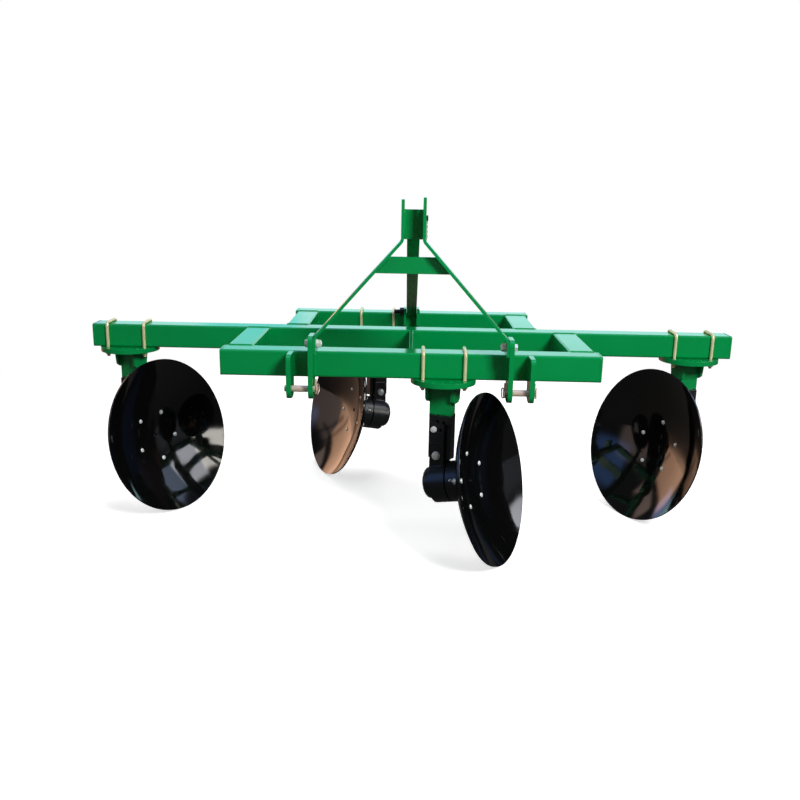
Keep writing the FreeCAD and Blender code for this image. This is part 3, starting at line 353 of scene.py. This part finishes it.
def tube_along(corners, facing, radius, step, sides=8, closed=False, ripple=0.0):
    """Round bar or weld bead: circles about points at equal steps through the corners, square to the path,
    which lies square to the facing direction. At length s and angle a the radius is
    r (1 + ripple |sin(pi (s / pitch + 0.3 cos a))|)."""
    corners = np.asarray(corners, float)
    if closed:
        corners = np.vstack([corners, corners[:1]])
    run = np.concatenate([[0], np.cumsum(np.linalg.norm(np.diff(corners, axis=0), axis=1))])
    s = np.linspace(0, run[-1], max(4, int(run[-1] / step)))
    path = np.stack([np.interp(s, run, corners[:, k]) for k in range(3)], -1)
    tangent = np.gradient(path, axis=0)
    if closed:
        tangent[0] = tangent[-1] = path[1] - path[-2]
    side = np.cross(tangent, facing)
    side /= np.linalg.norm(side, axis=1, keepdims=True)
    a = np.linspace(0, 2 * np.pi, sides + 1)[:-1]
    pitch = run[-1] / max(1, round(run[-1] / BEAD_PITCH))
    size = radius * (1 + ripple * np.abs(np.sin(np.pi * (s[:, None] / pitch + 0.3 * np.cos(a)))))
    if ripple and not closed:
        size *= np.sqrt(np.clip(np.minimum(s, run[-1] - s) / radius, 0.02, 1))[:, None]
    outwards = np.cos(a)[:, None] * side[:, None] + np.sin(a)[:, None] * facing
    return path[:, None] + size[..., None] * outwards


def bead(corners, facing, radius, closed=False):
    """A weld bead along a path."""
    return tube_along(corners, facing, radius, BEAD_STEP, closed=closed, ripple=0.16)


def rounded_loop(centre, right, up, half_right, half_up, corner):
    """Points of a rounded rectangle: four quarter circles of the corner radius about its corner centres."""
    turn = np.radians(90 * np.arange(4)[:, None] + np.linspace(0, 90, 6))
    r = np.array([[1], [-1], [-1], [1]]) * (half_right - corner) + corner * np.cos(turn)
    z = np.array([[1], [1], [-1], [-1]]) * (half_up - corner) + corner * np.sin(turn)
    return centre + r.reshape(-1, 1) * right + z.reshape(-1, 1) * up


def side_beads(name, face_y, low_z, high_z, radius):
    """Upright beads along both sides of a plate that stands square on a face."""
    return [bead([(x, face_y, low_z), (x, face_y, high_z)], X, radius) for x in extent(name, X)]


TUBE_CORNER = 8 * MM
JOINT_BEAD = 4.6 * MM  # radius of the beads between tubes
PLATE_BEAD = 3.6 * MM  # radius of the beads along plates
CAP_BEAD = 2.0 * MM    # ground nearly flush
BEAD_SINK = 1.2 * MM   # how far the beads between tubes lie inside the joined faces
SEAM_FOOT = 4 * MM     # a plate's beads start this far above its lower end
SEAM_HEAD = 5 * MM     # and end this far below the top
BEAM_SEAM = (BEAM_BOTTOM + SEAM_FOOT, BEAM_TOP - SEAM_HEAD)
MAST_SEAM_END = 3 * MM  # the same on the mast's plates
BACK_SEAM_FOOT = 8 * MM
welds = []
for name in ("front_rail_left", "front_rail_right", "rear_rail_left", "rear_rail_right"):
    low, high = node_box(name)
    middle, half = (low + high) / 2, (high - low) / 2
    for face, inward in ((low[1], 1), (high[1], -1)):
        centre = np.array([middle[0], face + inward * BEAD_SINK, middle[2]])
        loop = rounded_loop(centre, X, Z, half[0], half[2] - 2 * MM, TUBE_CORNER)
        welds.append(bead(loop, Y, JOINT_BEAD, True))
for name in ("front_beam", "middle_beam", "rear_beam"):
    low, high = node_box(name)
    middle, half = (low + high) / 2, (high - low) / 2 - BEAD_SINK
    for end in (low[0], high[0]):
        loop = rounded_loop(np.array([end, *middle[1:]]), Y, Z, *half[1:], TUBE_CORNER)
        welds.append(bead(loop, X, CAP_BEAD, True))
for side in ("left", "right"):
    for ear in ("inner", "outer"):
        welds += side_beads(f"hitch_ear_{ear}_{side}", FRONT_FACE, *BEAM_SEAM, PLATE_BEAD)
low, high = node_box("centre_rib")
for y in (low[1], high[1]):
    welds += side_beads("centre_rib", y, low[2] + SEAM_FOOT, high[2] - SEAM_HEAD, PLATE_BEAD)
low, high = node_box("mast_cross_brace")
brace = node_points("mast_cross_brace")
foot_half = np.abs(brace[brace[:, 2] < low[2] + MM, 0]).max()
head_half = np.abs(brace[brace[:, 2] > high[2] - MM, 0]).max()
for sign in (-1, 1):
    for y in (low[1], high[1]):
        ends = [(sign * foot_half, y, low[2] + MAST_SEAM_END), (sign * head_half, y, high[2] - MAST_SEAM_END)]
        welds.append(bead(ends, Y, PLATE_BEAD))
low, high = node_box("mast_back_plate")
for y in (low[1], high[1]):
    welds += side_beads("mast_back_plate", y, low[2] + BACK_SEAM_FOOT, high[2] - MAST_SEAM_END, PLATE_BEAD)
stay = node_points("rear_stay")
stay_top = stay[stay[:, 1] < high[1] + MM]
stay_half = np.ptp(stay_top[:, [0, 2]], axis=0) / 2
stay_middle = (stay_top.min(0) + stay_top.max(0)) / 2
welds.append(bead(rounded_loop(stay_middle, X, Z, *stay_half, 3 * MM), Y, PLATE_BEAD, True))
# The two ears of the stay share a node: each one's sides stand a plate's thickness from the node's ends
STAY_EAR_THICK = 10 * MM
left, right = extent("stay_ears", X)
rear_face = node_box("rear_beam")[0][1]
for x in (left, left + STAY_EAR_THICK, right - STAY_EAR_THICK, right):
    welds.append(bead([(x, rear_face, z) for z in BEAM_SEAM], X, PLATE_BEAD))

# Posts under the swivel plates: one bead round the outline of each post with its two cheek plates, and beads
# down the inner corners of the cheeks
UNITS = ("left", "right", "front", "rear")
POST_WIDTH = 36 * MM
POST_LENGTH = 82 * MM
CHEEK_SEAM = 64 * MM  # how far down the cheeks' inner corners are welded
CHEEK_SEAM_TOP = 2 * MM


def unit_place(unit):
    """A disc unit's directions from its hub's axis n: u is the axis's level direction and v lies across it,
    towards the front. Also the point of the axis at the post, under the swivel plate's middle."""
    joint = next(joint for joint in frame["joints"] if joint["name"] == f"disc_spin_{unit}")
    n = np.array(joint["axis"])
    u = np.array([n[0], n[1], 0]) / np.hypot(n[0], n[1])
    v = np.cross(u, Z) if np.cross(u, Z)[1] < 0 else np.cross(Z, u)
    low, high = node_box(f"swivel_plate_{unit}")
    pos = np.array(joint["pos_m"])
    along = (pos - (low + high) / 2) @ u / (n @ u)
    return n, u, v, pos - along * n


for unit in UNITS:
    _, u, v, base = unit_place(unit)
    plate_bottom = extent(f"swivel_plate_{unit}", Z)[0]
    cheek = np.ptp(extent(f"post_{unit}", v)) / 2
    wide = np.ptp(extent(f"post_{unit}", u)) / 2
    quarter = [(wide, cheek), (POST_LENGTH / 2, cheek), (POST_LENGTH / 2, POST_WIDTH / 2)]
    outline = [(a, b) for a, b in quarter] + [(-a, b) for a, b in reversed(quarter)]
    outline += [(-a, -b) for a, b in quarter] + [(a, -b) for a, b in reversed(quarter)]
    foot = base * (1, 1, 0) + Z * plate_bottom
    welds.append(bead(np.array([foot + a * u + b * v for a, b in outline]), Z, PLATE_BEAD, True))
    for a in (-POST_LENGTH / 2, POST_LENGTH / 2):
        for b in (-POST_WIDTH / 2, POST_WIDTH / 2):
            corner = foot + a * u + b * v
            welds.append(bead([corner - CHEEK_SEAM_TOP * Z, corner - CHEEK_SEAM * Z], v, PLATE_BEAD))
add_piece("frame_welds", welds, green, "frame")

# ---------------------------------------------------------------------------------------------------
# Bolts of the mast's feet: hexagon bolts and nuts of bright zinc plated steel, as on the disc units below.
# A bolt of thread d has hexagons 1.5 d across, and washers 1.9 d wide and 0.17 d thick. Heads are 0.63 d
# and nuts 0.8 d high.


def plated(name, light_code, dark_code, rough_low, rough_high, cloud_scale):
    """Plated steel: two tints of the passivation film mixed by a noise, under a satin gloss."""
    material, tree, out = new_material(name)
    place = node(tree, "ShaderNodeTexCoord").outputs["Object"]
    film = node(tree, "ShaderNodeTexNoise", Vector=place, Scale=cloud_scale, Detail=4.0)
    tint = node(tree, "ShaderNodeMix", {"data_type": "RGBA"}, i0=film.outputs["Fac"], i6=srgb(light_code),
                i7=srgb(dark_code))
    rough = node(tree, "ShaderNodeMapRange", i0=film.outputs["Fac"], i3=rough_low, i4=rough_high)
    metal = node(tree, "ShaderNodeBsdfPrincipled", Base_Color=tint.outputs[2], Metallic=0.3,
                 Roughness=rough.outputs[0], Normal=peel(tree, place, 1.2, 0.00003, 0.0006))
    tree.links.new(metal.outputs[0], out.inputs["Surface"])
    return material


bright_zinc = plated("bright_zinc_plate", "#F2F4F2", "#D2D8D6", 0.22, 0.38, 70.0)


def turned(profile, sides=24):
    """Turned part about +z: point (i, j) is (r_i cos a_j, r_i sin a_j, z_i) for the profile's rows (r, z)."""
    r, z = np.array(profile, float).T[:, :, None]
    a = np.linspace(0, 2 * np.pi, sides + 1)[:-1]
    return np.stack([r * np.cos(a), r * np.sin(a), z + 0 * a], -1)


def hexagon(across, height):
    """Hexagon on z = 0 with a 30 degree chamfer at its top. At angle a its radius is the lesser of r_i and
    across / (2 cos(a mod 60 - 30))."""
    corner = across / np.sqrt(3)
    rim = np.array([corner, *np.linspace(corner, 0.46 * across, 5)])
    level = height - (rim - rim[-1]) * np.tan(np.radians(30))
    level[0] = 0
    shape = turned(np.stack([rim, level], -1), 48)
    a = np.arange(48) * 7.5
    flat = across / 2 / np.cos(np.radians(a % 60 - 30))
    shape[..., :2] *= np.minimum(1, flat / rim[:, None])[..., None]
    return shape


def thread(radius, length, pitch):
    """Screw thread up from z = 0: radius R - 0.6 pitch |2 frac(z / pitch + a / 360) - 1|, a ridge that climbs
    a pitch each turn, and a chamfered end."""
    z = np.linspace(0, length, max(4, int(length / pitch * 8)))[:, None]
    a = np.linspace(0, 1, 25)[:-1]
    r = radius - 0.6 * pitch * np.abs(2 * ((z / pitch + a) % 1) - 1)
    r = np.minimum(r, radius - 0.7 * pitch + (length - z))
    return np.stack([r * np.cos(2 * np.pi * a), r * np.sin(2 * np.pi * a), z + 0 * a], -1)


ACROSS_FLATS = 1.5  # sizes as shares of the thread's
HEAD_TALL = 0.63
NUT_TALL = 0.8
WASHER_THICK = 0.17


def bolt_end(size, kind, tail=0.0):
    """What shows of a bolt of thread size where it leaves a face at z = 0: a washer under its head or nut,
    and behind a nut the end of its thread."""
    wide, thick, bevel = 0.95 * size, WASHER_THICK * size, 0.03 * size
    washer = turned([(wide - bevel, 0), (wide, bevel), (wide, thick - bevel), (wide - bevel, thick)], 32)
    tall = {"head": HEAD_TALL, "nut": NUT_TALL}[kind] * size
    parts = [washer, hexagon(ACROSS_FLATS * size, tall) + thick * Z]
    return parts + ([thread(size / 2, tail, 0.13 * size) + (thick + tall) * Z] if tail else [])


def placed(shells, origin, axis, turn=0.0):
    """Grids made about +z, turned about it by some degrees and stood on an origin with +z along the axis."""
    axis = np.asarray(axis, float) / np.linalg.norm(axis)
    first = np.cross(Y if abs(axis[1]) < 0.9 else X, axis)
    first /= np.linalg.norm(first)
    second = np.cross(axis, first)
    c, s = np.cos(np.radians(turn)), np.sin(np.radians(turn))
    basis = np.array([c * first + s * second, c * second - s * first, axis])
    return [origin + shell @ basis for shell in shells]


FOOT_BOLT = 16 * MM
FOOT_BOLT_RISE = 35 * MM
PIN_Y = sum(extent("hitch_pin_left", Y)) / 2
PIN_Z = sum(extent("hitch_pin_left", Z)) / 2
bolts = []
for side, sign in (("left", -1), ("right", 1)):
    ear_face = np.abs(extent(f"hitch_ear_inner_{side}", X)).max()
    leg = node_points(f"mast_leg_{side}")
    leg_face = np.abs(leg[leg[:, 2] < leg[:, 2].min() + 2 * MM, 0]).min()
    height = BEAM_TOP + FOOT_BOLT_RISE
    bolts += placed(bolt_end(FOOT_BOLT, "nut", 2 * MM), (sign * leg_face, PIN_Y, height), -sign * X, 12)
    bolts += placed(bolt_end(FOOT_BOLT, "head"), (sign * ear_face, PIN_Y, height), sign * X, 20)
add_piece("mast_foot_bolts", bolts, bright_zinc, "frame")

# ---------------------------------------------------------------------------------------------------
# Keeper's chain: a short chain of bent wire links that hangs from a knob on the right head plate.
# It hangs there when the mast is coated, so it is green with it.

KNOB_RISE = 1177 * MM   # of the knob above the ground
CHAIN_LINKS = 8
CHAIN_LINK = 5 * MM     # half a link's length
CHAIN_WIRE = 1.1 * MM
CHAIN_OUT = 2.6 * MM    # of the chain from the head plate's face
CHAIN_DROP = 13 * MM    # of the first link below the knob's middle
head_face = node_points("mast_head_right")
head_face = head_face[head_face[:, 2] > KNOB_RISE - 40 * MM]
knob_place = np.array([head_face[:, 0].max(), head_face[:, 1].mean(), KNOB_RISE])
links = []
for step in range(CHAIN_LINKS):
    centre = knob_place + CHAIN_OUT * X - (CHAIN_DROP + step * 1.5 * CHAIN_LINK) * Z
    across, facing = (Y, X) if step % 2 else (X, Y)
    turn = np.radians(np.linspace(0, 360, 17))[:-1]
    loop = centre + CHAIN_LINK * np.sin(turn)[:, None] * Z + 0.4 * CHAIN_LINK * np.cos(turn)[:, None] * across
    links.append(tube_along(loop, facing, CHAIN_WIRE, 2 * MM, closed=True))
add_piece("keeper_chain", links, green, "frame")

# ---------------------------------------------------------------------------------------------------
# Four dished discs: pressed spring steel, stove enamelled black.
# A mirror-like gloss with a slow waviness from the press, a fine grain, and dust that dulls it in places.

black, tree, out = new_material("black_stove_enamel")
place = node(tree, "ShaderNodeTexCoord").outputs["Object"]
wave = node(tree, "ShaderNodeTexNoise", Vector=place, Scale=9.0, Detail=1.0)
fine = node(tree, "ShaderNodeTexNoise", Vector=place, Scale=260.0, Detail=2.0)
rim = node(tree, "ShaderNodeBevel", {"samples": 6}, Radius=0.002)
press = node(tree, "ShaderNodeBump", Height=wave.outputs["Fac"], Strength=0.35, Distance=0.004,
             Normal=rim.outputs[0])
skin = node(tree, "ShaderNodeBump", Height=fine.outputs["Fac"], Strength=0.12, Distance=0.0001,
            Normal=press.outputs[0])
dust = node(tree, "ShaderNodeTexNoise", Vector=place, Scale=30.0, Detail=6.0)
rough = node(tree, "ShaderNodeMapRange", i0=dust.outputs["Fac"], i1=0.4, i2=0.8, i3=0.045, i4=0.11)
coat = node(tree, "ShaderNodeBsdfPrincipled", Base_Color=srgb("#09090A"), Roughness=rough.outputs[0],
            IOR=1.52, Normal=skin.outputs[0])
tree.links.new(coat.outputs[0], out.inputs["Surface"])
dress(black, "disc_")

# Five bolts hold each disc to its hub: a low domed head in the dish, a nut behind the hub's flange. The
# dish's inside is a sphere of radius (R^2 + D^2) / 2D for a disc of radius R and depth D
DISC_RADIUS = 301 * MM
DISC_DEPTH = 90 * MM
DISC_REACH = 205 * MM      # of the rim's middle from the post, along the hub's axis
DISC_AND_FLANGE = 16 * MM  # their thickness together
DISC_BOLT = 12 * MM
DISC_BOLT_TAIL = 4 * MM
DISC_BOLT_CIRCLE = 97 * MM  # radius
FIRST_BOLT = {"left": 61.0, "right": 17.3, "front": 21.1, "rear": 47.1}  # degrees about each hub at rest
DOME_RADIUS = 8.6 * MM
DOME_RISE = 3.2 * MM
DOME_EDGE = 0.6 * MM       # height of its straight edge
DOME_SINK = 0.5 * MM       # how far it reaches into the disc
dish_sphere = (DISC_RADIUS ** 2 + DISC_DEPTH ** 2) / (2 * DISC_DEPTH)
tip = np.radians(np.linspace(90, 4, 8))
dome = [(DOME_RADIUS, -DOME_SINK),
        *np.stack([DOME_RADIUS * np.sin(tip), DOME_EDGE + DOME_RISE * np.cos(tip)], -1)]
for unit in UNITS:
    n, u, _, base = unit_place(unit)
    level = np.cross(Z, u)
    across = np.cross(n, level)
    ball = base + n * (DISC_REACH + np.sqrt(dish_sphere ** 2 - DISC_RADIUS ** 2))
    lean = np.arcsin(DISC_BOLT_CIRCLE / dish_sphere)
    shells = []
    for step in range(5):
        turn = np.radians(FIRST_BOLT[unit] + 72 * step)
        outwards = np.cos(turn) * level + np.sin(turn) * across
        to_ball = np.cos(lean) * n - np.sin(lean) * outwards
        shells += placed([turned(dome, 32)], ball - dish_sphere * to_ball, to_ball)
        behind = ball - (dish_sphere + DISC_AND_FLANGE) * to_ball
        shells += placed(bolt_end(DISC_BOLT, "nut", DISC_BOLT_TAIL), behind, -to_ball, 20 * step)
    add_piece(f"disc_bolts_{unit}", shells, bright_zinc, f"disc_{unit}")

# ---------------------------------------------------------------------------------------------------
# Hubs and tilt brackets: cast hub, plate bracket, sprayed with black enamel.
# The casting's grain shows through the thin paint.

cast, tree, out = new_material("black_enamel_on_casting")
place = node(tree, "ShaderNodeTexCoord").outputs["Object"]
worn = node(tree, "ShaderNodeTexNoise", Vector=place, Scale=40.0, Detail=4.0)
rough = node(tree, "ShaderNodeMapRange", i0=worn.outputs["Fac"], i3=0.2, i4=0.42)
coat = node(tree, "ShaderNodeBsdfPrincipled", Base_Color=srgb("#16181A"), Roughness=rough.outputs[0], IOR=1.5,
            Normal=peel(tree, place, 1.8, 0.00012, 0.0012))
tree.links.new(coat.outputs[0], out.inputs["Surface"])
dress(cast, "hub_", "bracket_")

# The posts are green above the brackets and sprayed black with them below
SPRAY_START = 0.127  # below the beams, where the spray's edge begins
SPRAY_END = 0.131    # and where it covers
SPRAY_DRIFT = 0.006  # how far the edge wanders
post_paint, tree, out = new_material("green_powder_coat_sprayed_black_below")
place = node(tree, "ShaderNodeTexCoord").outputs["Object"]
height = node(tree, "ShaderNodeSeparateXYZ", Vector=place).outputs["Z"]
drift = node(tree, "ShaderNodeTexNoise", Vector=place, Scale=60.0)
edge = node(tree, "ShaderNodeMath", {"operation": "MULTIPLY_ADD"}, i0=drift.outputs["Fac"], i1=SPRAY_DRIFT,
            i2=height)
below = node(tree, "ShaderNodeMapRange", i0=edge.outputs[0], i1=BEAM_BOTTOM - SPRAY_START,
             i2=BEAM_BOTTOM - SPRAY_END)
shade = node(tree, "ShaderNodeMix", {"data_type": "RGBA"}, i0=below.outputs[0], i6=srgb("#008944"),
             i7=srgb("#16181A"))
coat = node(tree, "ShaderNodeBsdfPrincipled", Base_Color=shade.outputs[2], Roughness=0.24, IOR=1.5,
            Normal=peel(tree, place, PEEL_MM, 0.00006, EDGE_ROUND))
tree.links.new(coat.outputs[0], out.inputs["Surface"])
dress(post_paint, "post_")

# A bracket's two plates clasp the post, held by two bolts through all three, and are welded along the
# housing's shoulders. A grease nipple stands on the hub
PIVOT_BOLT = 16 * MM
TILT_BOLT = 12 * MM
BRACKET_BOLT_TAIL = 5 * MM
PIVOT_PLACE = (-5 * MM, 106 * MM)      # along u from the post, above the hub's axis
TILT_PLACE = (-16.6 * MM, 200.3 * MM)
HUB_RADIUS = 73 * MM
HOUSING_SEAM = (-13 * MM, 36 * MM)     # ends of the beads on the housing, along the hub's axis
HOUSING_BEAD = 4.2 * MM
NIPPLE_ALONG = 74 * MM
NIPPLE_TURN = 17.0                     # degrees up from level
NIPPLE_SINK = 0.3 * MM
NIPPLE_FOOT = 9 * MM                   # its hexagon, across the flats
NIPPLE_FOOT_TALL = 5 * MM
NIPPLE = [(3.2, 4), (3.2, 8), (2.2, 9.5), (2.2, 11), (3.1, 12.2), (3.3, 13.4), (2.7, 14.8), (1.2, 15.4)]
BRACKET_THICK = 14 * MM
STEP_RISE = 152 * MM                   # a thin bead across the front plate, above the hub's axis
STEP_SEAM = (-28 * MM, 20 * MM)        # its ends along u
STEP_BEAD = 1.5 * MM
bracket_welds = []
bracket_bolts = []
for unit in UNITS:
    n, u, v, base = unit_place(unit)
    seam = POST_WIDTH / 2
    face = seam + BRACKET_THICK
    for size, (a, rise) in ((PIVOT_BOLT, PIVOT_PLACE), (TILT_BOLT, TILT_PLACE)):
        place = base + a * u + rise * Z
        bracket_bolts += placed(bolt_end(size, "head"), place + face * v, v, 10)
        bracket_bolts += placed(bolt_end(size, "nut", BRACKET_BOLT_TAIL), place - face * v, -v, 25)
    up = np.cross(n, v) if np.cross(n, v)[2] > 0 else np.cross(v, n)
    for off in (-face, -seam, seam, face):
        rise = np.sqrt(HUB_RADIUS ** 2 - off ** 2)
        ends = [base + along * n + off * v + rise * up for along in HOUSING_SEAM]
        bracket_welds.append(bead(ends, v, HOUSING_BEAD))
    outwards = np.cos(np.radians(NIPPLE_TURN)) * v + np.sin(np.radians(NIPPLE_TURN)) * up
    nipple = [hexagon(NIPPLE_FOOT, NIPPLE_FOOT_TALL), turned(np.array(NIPPLE) * MM)]
    nipple = placed(nipple, base + NIPPLE_ALONG * n + (HUB_RADIUS - NIPPLE_SINK) * outwards, outwards)
    add_piece(f"grease_nipple_{unit}", nipple, bright_zinc, f"disc_{unit}")
    seam_line = [base + a * u + face * v + STEP_RISE * Z for a in STEP_SEAM]
    bracket_welds.append(bead(seam_line, v, STEP_BEAD))
add_piece("bracket_welds", bracket_welds, cast, "frame")
add_piece("bracket_bolts", bracket_bolts, bright_zinc, "frame")

# ---------------------------------------------------------------------------------------------------
# Fittings of the mast in the castings' black enamel: the keeper's knob on the right head plate, and the bolt
# of the rear stay, which renders dark where the other bolts are bright zinc. Both are steel. The stay's bolt
# has a low domed head on the right and a nut on the left.

KNOB = [(2.5, 0), (2.5, 0.6), (8, 0.8), (9, 1.8), (9, 5.4), (8, 6.4), (0.5, 6.8)]  # radius and height in mm
STAY_BOLT = 20 * MM
STAY_BOLT_TAIL = 24 * MM
STAY_BOLT_AHEAD = 36 * MM  # of the rear beam's front face
STAY_BOLT_RISE = 11 * MM   # above the beams
LOW_HEAD = [(11, 0), (11, 0.8), (9, 2.4), (5, 3.6), (0.5, 4)]
knob = placed([turned(np.array(KNOB) * MM)], knob_place, X)
add_piece("keeper_knob", knob, cast, "frame")
left, right = extent("stay_ears", X)
stay_bolt_place = np.array([0, rear_face - STAY_BOLT_AHEAD, BEAM_TOP + STAY_BOLT_RISE])
stay_bolt = placed(bolt_end(STAY_BOLT, "nut", STAY_BOLT_TAIL), stay_bolt_place + left * X, -X, 5)
stay_bolt += placed([turned(np.array(LOW_HEAD) * MM)], stay_bolt_place + right * X, X)
add_piece("stay_bolt", stay_bolt, cast, "frame")

# ---------------------------------------------------------------------------------------------------
# U-bolts: bent steel rod, zinc plated and yellow passivated.
# The passivation is a thin film, pale straw and a little darker in clouds. Nuts draw them up from below.

straw_zinc = plated("yellow_passivated_zinc", "#E8E4BA", "#CFC894", 0.3, 0.45, 60.0)
dress(straw_zinc, "ubolts_")

# Washers and nuts on the legs, under the swivel plates
UBOLT_ROD = 12 * MM
ubolt_nuts = []
for unit in UNITS:
    low, high = node_box(f"ubolts_{unit}")
    under = node_box(f"swivel_plate_{unit}")[0][2]
    for x in (low[0] + UBOLT_ROD / 2, high[0] - UBOLT_ROD / 2):
        for y in (low[1] + UBOLT_ROD / 2, high[1] - UBOLT_ROD / 2):
            leg_end = under - low[2] - (WASHER_THICK + NUT_TALL) * UBOLT_ROD
            ubolt_nuts += placed(bolt_end(UBOLT_ROD, "nut", leg_end), (x, y, under), -Z, 15 + 40 * (x + y))
add_piece("ubolt_nuts", ubolt_nuts, straw_zinc, "frame")

# ---------------------------------------------------------------------------------------------------
# Lower hitch pins: turned steel, zinc plated, with a tan passivation.
# Each stands between its two ears, and lynch pins through its ends hold it there.

tan_zinc = plated("tan_passivated_zinc", "#EBD6C8", "#C9A897", 0.25, 0.4, 45.0)
dress(tan_zinc, "hitch_pin_")

# Lynch pins hold them: a cross rod through the pin's end, and a sprung wire ring that snaps down round it
LYNCH_ROD = 4 * MM        # radius
LYNCH_TOP = 34 * MM       # of the rod above the hitch pin's axis
LYNCH_TIP = 17 * MM       # and below it
LYNCH_INSET = 6 * MM      # of the rod from the hitch pin's end
LYNCH_WIRE = 2.1 * MM     # radius
RING_RADIUS = 17 * MM
RING_OUT = 7 * MM         # of the ring's middle from the rod
RING_LEAN = 3 * MM


def lynch_pin(x, outwards):
    """Rod down through a hitch pin's end at x, with its ring a little further outwards."""
    rod = tube_along([(x, PIN_Y, PIN_Z + LYNCH_TOP), (x, PIN_Y, PIN_Z - LYNCH_TIP)], X, LYNCH_ROD, 2 * MM, 16)
    turn = np.radians(np.linspace(0, 360, 49))[:-1]
    middle = np.array([x + outwards * RING_OUT, PIN_Y, PIN_Z])
    ring = middle + RING_RADIUS * (np.cos(turn)[:, None] * Y + np.sin(turn)[:, None] * Z)
    ring[:, 0] += outwards * RING_LEAN * np.cos(turn)
    return [rod, tube_along(ring, X, LYNCH_WIRE, 1.5 * MM, 10, closed=True)]


lynch_pins = []
for side, sign, ends in (("left", -1, (0,)), ("right", 1, (0, 1))):
    reach = np.sort(np.abs(extent(f"hitch_pin_{side}", X)))
    for end in ends:
        outwards = sign * (1 if end else -1)
        lynch_pins += lynch_pin(sign * reach[end] - outwards * LYNCH_INSET, outwards)
add_piece("lynch_pins", lynch_pins, tan_zinc, "frame")
